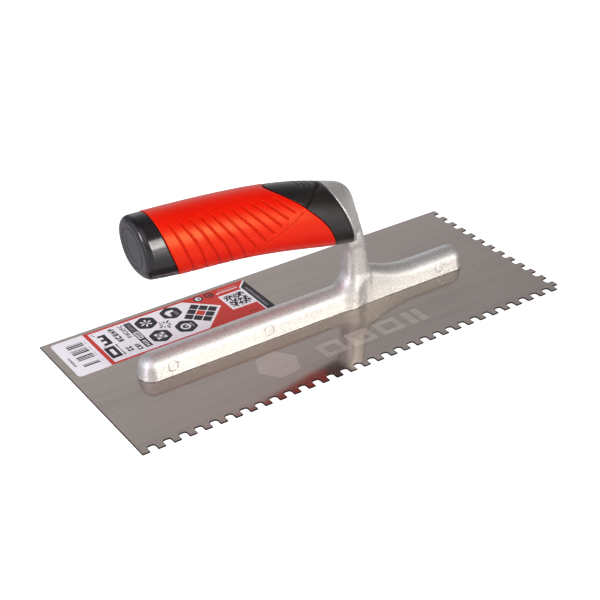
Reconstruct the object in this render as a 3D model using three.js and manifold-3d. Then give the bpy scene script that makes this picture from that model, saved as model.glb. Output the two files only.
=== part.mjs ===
// Notched trowel: toothed steel blade, die-cast mounting with a tang, two-colour handle.
//
// Frame (mm): origin at the centre of the blade's underside. +X runs along the blade towards
// its notched short edge, -Y is the notched long edge, +Z is up towards the handle.
// On the handle and tang, "front" is the +X end, where they meet the casting, "rear" is -X.
import * as THREE from 'three';
import { mergeVertices } from 'three/addons/utils/BufferGeometryUtils.js';
import { ConvexGeometry } from 'three/addons/geometries/ConvexGeometry.js';
import Module from 'manifold-3d';

// ---------------------------------------------------------------- shared dimensions
const GAP = 0.3;                  // clearance between fitted parts
const BLADE_LENGTH = 280;
const BLADE_WIDTH = 120;
const BLADE_THICKNESS = 0.8;

const RIVET_COUNT = 7;
const RIVET_PITCH = 32;
const RIVET_X = Array.from({ length: RIVET_COUNT },
  (_, i) => (i - (RIVET_COUNT - 1) / 2) * RIVET_PITCH);
const RIVET_RADIUS = 2.0;
const RIVET_HEAD_RADIUS = 4.3;
const RIVET_TOP = 7.0;
const RIVET_SEGMENTS = 28;

// ---------------------------------------------------------------- solids and geometry
const wasm = await Module();
wasm.setup();

function solid(geometry) {
  let welded = geometry.index ? geometry.toNonIndexed() : geometry.clone();
  welded.deleteAttribute('normal');
  welded.deleteAttribute('uv');
  welded = mergeVertices(welded, 1e-4);
  return new wasm.Manifold(new wasm.Mesh({
    numProp: 3,
    vertProperties: new Float32Array(welded.attributes.position.array),
    triVerts: new Uint32Array(welded.index.array),
  }));
}

function geometryOf(manifold) {
  const { numVert, numProp, vertProperties, triVerts } = manifold.getMesh();
  const positions = new Float32Array(numVert * 3);
  for (let i = 0; i < numVert; i++) {
    positions.set(vertProperties.subarray(i * numProp, i * numProp + 3), i * 3);
  }
  const geometry = new THREE.BufferGeometry();
  geometry.setAttribute('position', new THREE.BufferAttribute(positions, 3));
  geometry.setIndex(new THREE.BufferAttribute(new Uint32Array(triVerts), 1));
  geometry.computeVertexNormals();
  return geometry;
}

// steps + 1 evenly spaced values, both ends included.
const divide = (from, to, steps) =>
  Array.from({ length: steps + 1 }, (_, i) => from + (to - from) * i / steps);

const signedPower = (value, exponent) => Math.sign(value) * Math.pow(Math.abs(value), exponent);

// Superellipse ring: place(across, up) turns each point of the oval into a Vector3.
// The upper and lower halves may have different exponents.
function ovalRing({ count, halfWidth, halfHeight, upper, lower = upper }, place) {
  const ring = [];
  for (let i = 0; i < count; i++) {
    const angle = 2 * Math.PI * i / count;
    const exponent = Math.sin(angle) >= 0 ? upper : lower;
    ring.push(place(halfWidth * signedPower(Math.cos(angle), exponent),
      halfHeight * signedPower(Math.sin(angle), exponent)));
  }
  return ring;
}

// Signed six-fold volume inside a triangle list: negative when the faces point inwards.
function windingVolume(positions, index) {
  const vertex = (i) => new THREE.Vector3().fromArray(positions, 3 * i);
  let volume = 0;
  for (let i = 0; i < index.length; i += 3) {
    const normal = vertex(index[i + 1]).cross(vertex(index[i + 2]));
    volume += vertex(index[i]).dot(normal);
  }
  return volume;
}

// A closed skin over a list of rings with the same number of points, capped flat at both ends.
function loft(rings) {
  const count = rings[0].length;
  const lastRing = rings.length - 1;
  const firstCentre = rings.length * count;
  const positions = rings.flat().flatMap((point) => point.toArray());
  for (const ring of [rings[0], rings[lastRing]]) {
    const sum = ring.reduce((total, point) => total.add(point), new THREE.Vector3());
    positions.push(...sum.divideScalar(count).toArray());
  }

  const index = [];
  for (let i = 0; i < lastRing; i++) {
    for (let j = 0; j < count; j++) {
      const near = i * count + j;
      const nearNext = i * count + (j + 1) % count;
      const far = near + count;
      const farNext = nearNext + count;
      index.push(near, nearNext, farNext, near, farNext, far);
    }
  }
  for (let j = 0; j < count; j++) {
    const next = (j + 1) % count;
    index.push(firstCentre, next, j);
    index.push(firstCentre + 1, lastRing * count + j, lastRing * count + next);
  }
  if (windingVolume(positions, index) < 0) {
    for (let i = 0; i < index.length; i += 3) {
      [index[i + 1], index[i + 2]] = [index[i + 2], index[i + 1]];
    }
  }
  const geometry = new THREE.BufferGeometry();
  geometry.setAttribute('position', new THREE.BufferAttribute(new Float32Array(positions), 3));
  geometry.setIndex(index);
  return geometry;
}

// Turned shape about Y from [radius, distance along the axis] points.
const lathe = (profile, segments) =>
  new THREE.LatheGeometry(profile.map((point) => new THREE.Vector2(...point)), segments);

// ---------------------------------------------------------------- blade
const LONG_EDGE = { pitch: 9.06, tooth: 4.5, depth: 4.5, notches: 30 };
// firstTooth: from the blade's -Y edge to the first tooth's centre
const SHORT_EDGE = { firstTooth: 6.3, pitch: 9.28, tooth: 4.55, depth: 4.1, teeth: 13 };
const NOTCH_RADIUS = 1.4;         // root corner of a notch
const NOTCH_ARC_STEPS = 4;
const CORNER_BITE = 4.0;          // bite out of the corner between the notched edges, along Y

// Quarter turn of a notch's root corner.
function notchCorner(centreX, centreY, fromAngle, toAngle) {
  return divide(fromAngle, toAngle, NOTCH_ARC_STEPS).map((angle) => new THREE.Vector2(
    centreX + NOTCH_RADIUS * Math.cos(angle), centreY + NOTCH_RADIUS * Math.sin(angle)));
}

// Teeth along -Y, taken towards +X.
function longEdgePoints(left, bottom) {
  const { pitch, tooth, depth, notches } = LONG_EDGE;
  const arcY = bottom + depth - NOTCH_RADIUS;
  const points = [new THREE.Vector2(left, bottom)];
  for (let i = 0; i < notches; i++) {
    const start = left + i * pitch + tooth;
    const end = left + (i + 1) * pitch;
    points.push(
      new THREE.Vector2(start, bottom),
      ...notchCorner(start + NOTCH_RADIUS, arcY, Math.PI, Math.PI / 2),
      ...notchCorner(end - NOTCH_RADIUS, arcY, Math.PI / 2, 0),
      new THREE.Vector2(end, bottom));
  }
  const lastToothEnd = left + notches * pitch + tooth;
  points.push(new THREE.Vector2(lastToothEnd, bottom));
  points.push(new THREE.Vector2(lastToothEnd, bottom + CORNER_BITE));
  return points;
}

// Teeth along +X, taken towards +Y; the last tooth runs on to the blade's corner.
function shortEdgePoints(right, bottom) {
  const { firstTooth, pitch, tooth, depth, teeth } = SHORT_EDGE;
  const arcX = right - depth + NOTCH_RADIUS;
  const points = [];
  for (let i = 0; i < teeth; i++) {
    const centre = bottom + firstTooth + i * pitch;
    points.push(new THREE.Vector2(right, centre - tooth / 2));
    if (i === teeth - 1) break;
    const start = centre + tooth / 2;
    const end = centre + pitch - tooth / 2;
    points.push(
      new THREE.Vector2(right, start),
      ...notchCorner(arcX, start + NOTCH_RADIUS, -Math.PI / 2, -Math.PI),
      ...notchCorner(arcX, end - NOTCH_RADIUS, Math.PI, Math.PI / 2));
  }
  return points;
}

function makeBlade() {
  const right = BLADE_LENGTH / 2;
  const top = BLADE_WIDTH / 2;
  const shape = new THREE.Shape([
    ...longEdgePoints(-right, -top),
    ...shortEdgePoints(right, -top),
    new THREE.Vector2(right, top),
    new THREE.Vector2(-right, top),
  ]);
  let blade = solid(new THREE.ExtrudeGeometry(shape,
    { depth: BLADE_THICKNESS, bevelEnabled: false }));

  const holeRadius = RIVET_RADIUS + GAP;
  const sinkRadius = RIVET_HEAD_RADIUS + GAP;
  for (const x of RIVET_X) {      // countersunk from below
    const hole = lathe([[0, -1], [sinkRadius, -1], [sinkRadius, 0.12],
      [holeRadius, 0.62], [holeRadius, 2], [0, 2]], RIVET_SEGMENTS);
    blade = blade.subtract(solid(hole.rotateX(Math.PI / 2).translate(x, 0, 0)));
  }
  return geometryOf(blade);
}

// ---------------------------------------------------------------- rivet
// Flush head under the blade, blind shank in the rail.
function makeRivet() {
  const chamfer = 0.4;
  return lathe([[0, 0], [RIVET_HEAD_RADIUS, 0], [RIVET_HEAD_RADIUS, 0.1], [RIVET_RADIUS, 0.58],
    [RIVET_RADIUS, RIVET_TOP - chamfer], [RIVET_RADIUS - chamfer, RIVET_TOP],
    [0, RIVET_TOP]], RIVET_SEGMENTS).rotateX(Math.PI / 2);
}

// ---------------------------------------------------------------- label film on the blade
const LABEL = { x0: -135.2, x1: -9, y0: 20, y1: 57, thickness: 0.15, radius: 2 };

function makeLabel() {
  const { x0, x1, y0, y1, thickness, radius } = LABEL;
  const corners = [            // arc centre x, y, start angle
    [x1 - radius, y0 + radius, -Math.PI / 2],
    [x1 - radius, y1 - radius, 0],
    [x0 + radius, y1 - radius, Math.PI / 2],
    [x0 + radius, y0 + radius, Math.PI],
  ];
  const shape = new THREE.Shape();
  shape.moveTo(x0 + radius, y0);
  for (const [x, y, angle] of corners) {
    shape.lineTo(x + radius * Math.cos(angle), y + radius * Math.sin(angle));
    shape.absarc(x, y, radius, angle, angle + Math.PI / 2);
  }
  return new THREE.ExtrudeGeometry(shape,
    { depth: thickness, bevelEnabled: false, curveSegments: 4 });
}

// ---------------------------------------------------------------- handle form
// Oval sections strung on a curved centre line. Each list holds the coefficients of a
// quartic in x/100, constant term first.
const CENTRE_Z = [66.915, -21.787, -5.823, 14.870, 10.979];
const HALF_HEIGHT = [22.254, 2.090, -19.019, -36.334, -19.218];
const HALF_WIDTH = [17.068, -1.193, -4.820, -3.946, -0.903];
const REAR_X = -106.69;           // centre-line x of the rear face
const FRONT_X = 17.09;            // centre-line x of the collar face
const REAR_TILT = -0.103;         // lean of those faces, radians (top towards -X)
const FRONT_TILT = -0.389;
const UPPER_SHAPE = 1.95;         // superellipse exponents of the oval
const LOWER_SHAPE = 2.25;
const SECTION_POINTS = 48;
const CAP_RADIUS = 3.9;           // rounding round the rear face
const CAP_STEPS = 5;

function quartic([c0, c1, c2, c3, c4], x) {
  const t = x / 100;
  return c0 + t * (c1 + t * (c2 + t * (c3 + t * c4)));
}

function handleSection(x, tilt, grow = 0) {
  const centreZ = quartic(CENTRE_Z, x);
  const oval = {
    count: SECTION_POINTS,
    halfWidth: quartic(HALF_WIDTH, x) + grow,
    halfHeight: quartic(HALF_HEIGHT, x) + grow,
    upper: 2 / UPPER_SHAPE,
    lower: 2 / LOWER_SHAPE,
  };
  return ovalRing(oval, (across, up) =>
    new THREE.Vector3(x + Math.sin(tilt) * up, across, centreZ + Math.cos(tilt) * up));
}

const tiltAt = (x) =>
  REAR_TILT + (FRONT_TILT - REAR_TILT) * (x - REAR_X) / (FRONT_X - REAR_X);

const handleRings = (from, to, grow, steps = 14) =>
  divide(from, to, steps).map((x) => handleSection(x, tiltAt(x), grow));

// The whole outer form, with the rounded rear face.
function makeHandleForm() {
  const rounded = divide(0, Math.PI / 2, CAP_STEPS).slice(0, -1).map((angle) =>
    handleSection(REAR_X + CAP_RADIUS * (1 - Math.cos(angle)), REAR_TILT,
      -CAP_RADIUS * (1 - Math.sin(angle))));
  return solid(loft([...rounded, ...handleRings(REAR_X + CAP_RADIUS, FRONT_X, 0, 16)]));
}
const handleForm = makeHandleForm();

// ---------------------------------------------------------------- joints in the handle
// Side-view lines, [x, z] from top to bottom: end cap joint, then sleeve's front joint.
const CAP_LINE = [
  [-100.2, 108], [-98.4, 99], [-97.2, 95.2], [-96.2, 90], [-94.4, 82.2], [-91.4, 73.9],
  [-87.2, 63.9], [-84.4, 57], [-81, 48],
];
const TONGUE_LINE = [
  [-44, 100], [-37, 94.8], [-31, 92.6], [-26.6, 90.8], [-23.3, 89], [-18.5, 86],
  [-13.1, 82.2], [-9.8, 79.2], [-2.6, 71.8], [1.2, 67.4], [4.5, 62.6], [8.3, 55.4],
  [11.4, 49.4], [14, 43], [16.5, 34],
];
const JOINT_OFFSET = GAP / 2;     // each part stands back this far from a joint line
const CUT_HALF_WIDTH = 40;        // wider than the handle
const CUT_REAR_X = -180;          // behind the handle

// A prism along Y from a side-view outline of [x, z] points.
function sidePrism(outline) {
  const shape = new THREE.Shape(outline.map(([x, z]) => new THREE.Vector2(x, z)));
  return solid(new THREE.ExtrudeGeometry(shape,
    { depth: 2 * CUT_HALF_WIDTH, bevelEnabled: false })
    .translate(0, 0, -CUT_HALF_WIDTH)
    .rotateX(Math.PI / 2));
}

const shifted = (line, offset) => line.map(([x, z]) => [x + offset, z]);

const behindCapLine = (offset) => sidePrism([
  ...shifted(CAP_LINE, offset),
  [CUT_REAR_X, CAP_LINE.at(-1)[1]],
  [CUT_REAR_X, CAP_LINE[0][1]],
]);

const betweenLines = (capOffset, tongueOffset) => sidePrism([
  ...shifted(CAP_LINE, capOffset),
  ...shifted(TONGUE_LINE, tongueOffset).reverse(),
]);

// ---------------------------------------------------------------- tang frame
// Origin at the tang's rear end, +X forwards along the tang.
const TANG_REAR = { x: -60, z: 76.1 };
const TANG_FRONT = { x: 17.1, z: 63.2 };
const TANG_RUN = TANG_FRONT.x - TANG_REAR.x;
const TANG_DROP = TANG_REAR.z - TANG_FRONT.z;
const TANG_LENGTH = Math.hypot(TANG_RUN, TANG_DROP);
const TANG_HALF_WIDTH = { rear: 4.8, gain: 1.8 };     // gain: growth from rear to front end
const TANG_HALF_HEIGHT = { rear: 6.4, gain: 3.4 };
const TURNED_SEGMENTS = 32;

const tangMatrix = new THREE.Matrix4()
  .makeTranslation(TANG_REAR.x, 0, TANG_REAR.z)
  .multiply(new THREE.Matrix4().makeRotationY(Math.atan2(TANG_DROP, TANG_RUN)));
const inTang = (geometry) => solid(geometry.applyMatrix4(tangMatrix));

function tangBar(grow, from, to) {
  return inTang(loft(divide(from, to, 4).map((x) => {
    const part = x / TANG_LENGTH;
    const oval = {
      count: 32,
      halfWidth: TANG_HALF_WIDTH.rear + TANG_HALF_WIDTH.gain * part + grow,
      halfHeight: TANG_HALF_HEIGHT.rear + TANG_HALF_HEIGHT.gain * part + grow,
      upper: 0.5,
    };
    return ovalRing(oval, (across, up) => new THREE.Vector3(x, across, up));
  })));
}

const tangRod = (radius, from, to, segments = TURNED_SEGMENTS) =>
  inTang(new THREE.CylinderGeometry(radius, radius, to - from, segments)
    .rotateZ(Math.PI / 2)
    .translate((from + to) / 2, 0, 0));

const tangLathe = (profile, start) =>
  inTang(lathe(profile, TURNED_SEGMENTS).rotateZ(-Math.PI / 2).translate(start, 0, 0));

// ---------------------------------------------------------------- tang screw and washer
const WEB = 9.5;                  // wall of the core the tang screw pulls against
const SCREW_RADIUS = 2.5;
const SCREW_HOLE_RADIUS = SCREW_RADIUS + GAP;
const SCREW_HEAD_LENGTH = 3.0;
const SCREW_LENGTH = 29;
const SOCKET = { radius: 2.1, depth: 1.8 };
const WASHER = { radius: 6.8, thickness: 1.2 };
const WASHER_START = -WEB - GAP - WASHER.thickness;
const SCREW_START = WASHER_START - GAP - SCREW_HEAD_LENGTH;

function makeTangScrew() {
  const body = tangLathe([[0, 0], [2.6, 0], [4.0, 0.5], [4.7, 1.6], [4.8, SCREW_HEAD_LENGTH],
    [SCREW_RADIUS, SCREW_HEAD_LENGTH], [SCREW_RADIUS, SCREW_LENGTH - 1],
    [SCREW_RADIUS - 0.8, SCREW_LENGTH], [0, SCREW_LENGTH]], SCREW_START);
  const socket = tangRod(SOCKET.radius, SCREW_START - 1.2, SCREW_START + SOCKET.depth, 6);
  return geometryOf(body.subtract(socket));
}

function makeTangWasher() {
  const { radius, thickness } = WASHER;
  return geometryOf(tangLathe([[SCREW_HOLE_RADIUS, 0], [radius, 0], [radius, thickness],
    [SCREW_HOLE_RADIUS, thickness], [SCREW_HOLE_RADIUS, 0]], WASHER_START));
}

// ---------------------------------------------------------------- sleeve, core, end cap
const SLEEVE_THICKNESS = 2.4;
const SLEEVE_PROUD = 0.2;         // sleeve stands this far outside the hard plastic
const BORE_RADIUS = 8.0;          // bore in the core, open to the rear
const PLUG = { radius: BORE_RADIUS - 0.4, from: -39, to: -24 };
const PLUG_HOLLOW = { radius: BORE_RADIUS - 2.2, from: -34, to: -20 };

const handleInside = (depth) => solid(loft(handleRings(-108, 18.5, -depth)));

function makeSleeve() {
  return geometryOf(solid(loft(handleRings(-106, 17.0, SLEEVE_PROUD)))
    .subtract(handleInside(SLEEVE_THICKNESS))
    .intersect(betweenLines(JOINT_OFFSET, -JOINT_OFFSET)));
}

function makeCore() {
  const sleeveRoom = betweenLines(-6, JOINT_OFFSET)
    .subtract(handleInside(SLEEVE_THICKNESS + GAP));
  return geometryOf(handleForm
    .subtract(behindCapLine(JOINT_OFFSET))
    .subtract(sleeveRoom)
    .subtract(tangBar(GAP, -0.5, TANG_LENGTH + 12))
    .subtract(tangRod(SCREW_HOLE_RADIUS, -WEB - 5, 2))
    .subtract(tangRod(BORE_RADIUS, -60, -WEB)));
}

// The cap carries a short plug, hollow from its front end.
function makeEndCap() {
  return geometryOf(handleForm
    .intersect(behindCapLine(-JOINT_OFFSET))
    .add(tangRod(PLUG.radius, PLUG.from, PLUG.to))
    .subtract(tangRod(PLUG_HOLLOW.radius, PLUG_HOLLOW.from, PLUG_HOLLOW.to)));
}

// ---------------------------------------------------------------- casting: rail
const RAIL = {
  length: 219.6,
  width: 17.5,                    // at the base
  height: 14.0,                   // z of the top, away from the shank
  endRadius: 8,
  draft: 0.2,                     // inset per mm of height
  topRadius: 6,
};
// Height of the rail's top along its length, [x, z].
const RIDGE = [
  [-110, 14], [12, 14], [15.5, 14.2], [18, 14.8], [20.5, 16], [23, 18.6], [25, 22], [40, 22.3],
  [43, 21], [47, 19.6], [52, 17.7], [57, 16.1], [62, 15.0], [68, 14.2], [74, 14], [110, 14],
];
const RAIL_STATIONS = [-70, -35, 0, ...RIDGE.slice(1, -1).map(([x]) => x)];

// Straight-line interpolation in RIDGE, which reaches past both ends of the rail.
function ridgeHeight(x) {
  const i = RIDGE.findIndex(([ridgeX]) => x <= ridgeX);
  const [x0, z0] = RIDGE[i - 1];
  const [x1, z1] = RIDGE[i];
  return z0 + (z1 - z0) * (x - x0) / (x1 - x0);
}

// Plan outline at nominal height z, stretched upwards to follow the ridge.
function railRing(z, inset) {
  const cornerX = RAIL.length / 2 - RAIL.endRadius;
  const cornerY = RAIL.width / 2 - RAIL.endRadius;
  const radius = RAIL.endRadius - inset;
  const place = (x, y) => {
    const stretch = (ridgeHeight(x) - BLADE_THICKNESS) / (RAIL.height - BLADE_THICKNESS);
    return new THREE.Vector3(x, y, BLADE_THICKNESS + (z - BLADE_THICKNESS) * stretch);
  };
  const corner = (centreX, centreY, start) => divide(0, Math.PI / 2, 6).map((turn) =>
    place(centreX + radius * Math.cos(start + turn), centreY + radius * Math.sin(start + turn)));
  return [
    ...corner(cornerX, cornerY, 0),
    ...RAIL_STATIONS.toReversed().map((x) => place(x, cornerY + radius)),
    ...corner(-cornerX, cornerY, Math.PI / 2),
    ...corner(-cornerX, -cornerY, Math.PI),
    ...RAIL_STATIONS.map((x) => place(x, -cornerY - radius)),
    ...corner(cornerX, -cornerY, 1.5 * Math.PI),
  ];
}

function makeRail() {
  const wallTop = RAIL.height - RAIL.topRadius;
  const draftInset = (z) => (z - BLADE_THICKNESS) * RAIL.draft;
  const wall = divide(BLADE_THICKNESS, wallTop, 2).map((z) => railRing(z, draftInset(z)));
  const roundedTop = divide(0, Math.PI / 2, 5).slice(1).map((angle) =>
    railRing(wallTop + RAIL.topRadius * Math.sin(angle),
      draftInset(wallTop) + RAIL.topRadius * (1 - Math.cos(angle))));
  return solid(loft([...wall, ...roundedTop]));
}

// ---------------------------------------------------------------- casting: shank and head
// Rounded-square column: z, rear x, front x, half width in Y.
const SHANK = [
  [3, 24.2, 42.4, 6.9], [14, 24.4, 41.6, 6.8], [20, 24.9, 40.6, 6.7], [26, 25.2, 39.5, 6.6],
  [33, 25.0, 38.2, 6.6], [40, 24.4, 36.8, 6.6], [47, 24.2, 35.6, 6.6],
];
// Outer edge of the head in side view, [x, z] from the top down to the shank.
const SPINE = [
  [11.5, 82.9], [16.4, 81.7], [21.2, 80.1], [25.4, 77.1], [28.2, 73.1], [30.1, 67.8],
  [31.6, 62.4], [33.1, 56.9], [34.5, 51.4], [35.7, 46], [36.3, 43.4],
];
const SPINE_HALF_WIDTH = 6.4;
const SPINE_DEPTH = 5;            // depth of the spine's rounding
const HEAD_FOOT = { x: 25.2, halfWidth: 5, z: 43.8 };    // lower rear edge of the head
const RIM_REAR_X = FRONT_X + GAP;
const RIM_FRONT_X = RIM_REAR_X + 1.4;

function makeShank() {
  return solid(loft(SHANK.map(([z, rear, front, halfDepth]) => ovalRing(
    { count: 40, halfWidth: (front - rear) / 2, halfHeight: halfDepth, upper: 0.7 },
    (x, y) => new THREE.Vector3((rear + front) / 2 + x, y, z)))));
}

const makeRim = () =>
  solid(loft([RIM_REAR_X, RIM_FRONT_X].map((x) => handleSection(x, FRONT_TILT))));

// Half-round across the spine at one of its points, square to the spine's run.
function spineArc([x, z], i) {
  const [beforeX, beforeZ] = SPINE[Math.max(i - 1, 0)];
  const [afterX, afterZ] = SPINE[Math.min(i + 1, SPINE.length - 1)];
  const run = Math.hypot(afterX - beforeX, afterZ - beforeZ);
  const normalX = -(afterZ - beforeZ) / run;
  const normalZ = (afterX - beforeX) / run;
  return divide(0, 1, 12).map((part) => {
    const angle = Math.PI * (part - 0.5);
    const back = 1 - Math.cos(angle);
    return new THREE.Vector3(x - normalX * SPINE_DEPTH * back,
      SPINE_HALF_WIDTH * Math.sin(angle), z - normalZ * SPINE_DEPTH * back);
  });
}

// Flanks drawn in from the oval rim to the narrow rounded spine.
function makeHead() {
  const { x, halfWidth, z } = HEAD_FOOT;
  return solid(new ConvexGeometry([
    ...handleSection(RIM_FRONT_X, FRONT_TILT),
    ...SPINE.flatMap(spineArc),
    new THREE.Vector3(x, halfWidth, z),
    new THREE.Vector3(x, -halfWidth, z),
  ]));
}

function makeCasting() {
  // Room for the handle's front end behind the rim.
  const seat = solid(loft(handleRings(-30, RIM_REAR_X, GAP + 0.1, 6)));
  let casting = makeRail()
    .add(makeShank())
    .add(makeRim())
    .add(makeHead())
    .subtract(seat)
    .add(tangBar(0, 0, TANG_LENGTH + 4))
    .subtract(tangRod(SCREW_HOLE_RADIUS, -2, 18));

  const radius = RIVET_RADIUS + GAP;
  const height = RIVET_TOP + GAP;
  for (const x of RIVET_X) {      // blind pockets for the rivets
    const pocket = new THREE.CylinderGeometry(radius, radius, height, RIVET_SEGMENTS)
      .rotateX(Math.PI / 2)
      .translate(x, 0, height / 2);
    casting = casting.subtract(solid(pocket));
  }
  return geometryOf(casting);
}

// ---------------------------------------------------------------- materials
const STEEL = { color: 0x8f8985, roughness: 0.32, metalness: 1 };
const ALLOY = { color: 0xd8d4cc, roughness: 0.45, metalness: 0.9 };
const BRIGHT = { color: 0xb9b7b4, roughness: 0.3, metalness: 1 };
const BLACK = { color: 0x1d1c1d, roughness: 0.38, metalness: 0 };
const RED = { color: 0xdf2a14, roughness: 0.5, metalness: 0 };
const PAPER = { color: 0xe6e3ea, roughness: 0.4, metalness: 0 };

// ---------------------------------------------------------------- assembly
function piece(name, geometry, look, x = 0, z = 0) {
  const mesh = new THREE.Mesh(geometry, new THREE.MeshStandardMaterial(look));
  mesh.name = name;
  mesh.position.set(x, 0, z);
  return mesh;
}

const plate = new THREE.Group();
plate.add(
  piece('blade', makeBlade(), STEEL),
  piece('label', makeLabel(), PAPER, 0, BLADE_THICKNESS),
  ...RIVET_X.map((x, i) => piece(`rivet_${i + 1}`, makeRivet(), BRIGHT, x)));

const handle = new THREE.Group();
handle.add(
  piece('handle_core', makeCore(), BLACK),
  piece('grip_sleeve', makeSleeve(), RED),
  piece('end_cap', makeEndCap(), BLACK),
  piece('tang_screw', makeTangScrew(), BRIGHT),
  piece('tang_washer', makeTangWasher(), BRIGHT));

const trowel = new THREE.Group();
trowel.name = 'notched_trowel';
trowel.add(plate, piece('mount_casting', makeCasting(), ALLOY), handle);

export default trowel;
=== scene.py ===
"""Notched trowel: the looks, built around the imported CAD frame. Metres in Blender; shapes below are worked out in millimetres in the same frame."""

import math

import bpy
import numpy as np
from mathutils import Matrix, Vector
from mathutils.bvhtree import BVHTree
from mathutils.geometry import delaunay_2d_cdt


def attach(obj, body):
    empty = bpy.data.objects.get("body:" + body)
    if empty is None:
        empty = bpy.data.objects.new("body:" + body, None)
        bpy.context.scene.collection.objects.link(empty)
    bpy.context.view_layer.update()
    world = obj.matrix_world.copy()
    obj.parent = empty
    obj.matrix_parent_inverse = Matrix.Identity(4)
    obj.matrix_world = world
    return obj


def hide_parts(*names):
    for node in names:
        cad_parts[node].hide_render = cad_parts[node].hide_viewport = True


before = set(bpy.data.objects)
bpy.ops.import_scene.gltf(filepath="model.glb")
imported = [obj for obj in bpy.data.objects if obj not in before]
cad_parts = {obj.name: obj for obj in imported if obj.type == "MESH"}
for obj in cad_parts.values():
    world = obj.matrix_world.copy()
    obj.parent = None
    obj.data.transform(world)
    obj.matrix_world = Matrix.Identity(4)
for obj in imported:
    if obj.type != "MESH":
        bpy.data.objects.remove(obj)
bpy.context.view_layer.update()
MM = 0.001

# ------------------------------------------------------------------ driving dimensions (mm), the same as the CAD
BLADE_L, BLADE_W, BLADE_T = 280.0, 120.0, 0.8
FRONT_PITCH, FRONT_TOOTH, FRONT_DEPTH, FRONT_NOTCHES = 9.06, 4.5, 4.5, 30
SIDE_FIRST, SIDE_PITCH, SIDE_TOOTH, SIDE_DEPTH, SIDE_TEETH = 6.3, 9.28, 4.55, 4.1, 13
NOTCH_R, CORNER_BITE = 1.4, 4.0
RAIL_L, RAIL_W, RAIL_H, RAIL_END_R, RAIL_DRAFT, RAIL_TOP_R = 219.6, 17.5, 14.0, 8.0, 0.2, 6.0
RIVET_X = [-96, -64, -32, 0, 32, 64, 96]
RIVET_R, RIVET_HEAD_R, RIVET_TOP, GAP = 2.0, 4.3, 7.0, 0.3
TANG_REAR, TANG_FRONT = (-60.0, 76.1), (17.1, 63.2)
SLEEVE_T, CAP_R = 2.4, 3.9
CENTRE_Z = [66.915, -21.787, -5.823, 14.870, 10.979]
HALF_H = [22.254, 2.090, -19.019, -36.334, -19.218]
HALF_W = [17.068, -1.193, -4.820, -3.946, -0.903]
X_REAR, X_FRONT, TILT_REAR, TILT_FRONT = -106.69, 17.09, -0.103, -0.389
SHAPE_TOP, SHAPE_BOTTOM = 1.95, 2.25
CAP_LINE = [[-100.2, 108], [-98.4, 99], [-97.2, 95.2], [-96.2, 90], [-94.4, 82.2], [-91.4, 73.9], [-87.2, 63.9], [-84.4, 57], [-81, 48]]
TONGUE_LINE = [[-44, 100], [-37, 94.8], [-31, 92.6], [-26.6, 90.8], [-23.3, 89], [-18.5, 86], [-13.1, 82.2], [-9.8, 79.2], [-2.6, 71.8],
               [1.2, 67.4], [4.5, 62.6], [8.3, 55.4], [11.4, 49.4], [14, 43], [16.5, 34]]
RIDGE = [[-110, 14], [24, 14], [30, 18], [36, 22.3], [40, 22.3], [43, 21], [47, 19.6], [52, 17.7], [57, 16.1], [62, 15.0], [68, 14.2], [74, 14], [110, 14]]
SHANK = [[3, 24.2, 42.4, 6.9], [14, 24.4, 41.6, 6.8], [20, 24.9, 40.6, 6.7], [26, 25.2, 39.5, 6.6], [33, 25.0, 38.2, 6.6], [40, 24.4, 36.8, 6.6], [50, 24.2, 35.0, 6.6]]
SPINE = [[11.5, 82.9], [16.4, 81.7], [21.2, 80.1], [25.4, 77.1], [28.2, 73.1], [30.1, 67.8], [31.6, 62.4], [33.1, 56.9], [34.5, 51.4], [35.7, 46], [36.3, 43.4]]


# ------------------------------------------------------------------ small maths
def quartic(c, x):
    t = x / 100.0
    return c[0] + t * (c[1] + t * (c[2] + t * (c[3] + t * c[4])))


def dquartic(c, x):
    t = x / 100.0
    return (c[1] + t * (2 * c[2] + t * (3 * c[3] + t * 4 * c[4]))) / 100.0


def dense(points, key, value, lo, hi, sigma=1.2, step=0.1):
    """A smoothed table: value against key, evenly sampled."""
    p = np.array(points, float)
    p = p[np.argsort(p[:, key])]
    k = np.arange(lo - 8, hi + 8, step)
    k0, k1 = p[0, key], p[-1, key]
    v = np.interp(k, p[:, key], p[:, value])
    s0 = (p[1, value] - p[0, value]) / (p[1, key] - p[0, key])
    s1 = (p[-1, value] - p[-2, value]) / (p[-1, key] - p[-2, key])
    v = np.where(k < k0, p[0, value] + s0 * (k - k0), np.where(k > k1, p[-1, value] + s1 * (k - k1), v))
    n = int(4 * sigma / step)
    w = np.exp(-0.5 * (np.arange(-n, n + 1) * step / sigma) ** 2)
    w /= w.sum()
    v2 = np.convolve(v, w, "same")
    v2[:n], v2[-n:] = v[:n], v[-n:]
    return k, v2, np.gradient(v2, step)


def rounded_and(a, b, r):
    """Intersection of two solids with the shared edge rounded to radius r."""
    return np.minimum(-r, np.maximum(a, b)) + np.hypot(np.maximum(a + r, 0), np.maximum(b + r, 0))


def rounded_or(a, b, r):
    """Union of two solids with a fillet of radius r in the corner."""
    return np.maximum(r, np.minimum(a, b)) - np.hypot(np.maximum(r - a, 0), np.maximum(r - b, 0))


def smooth(t):
    t = np.clip(t, 0, 1)
    return t * t * (3 - 2 * t)


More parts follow.
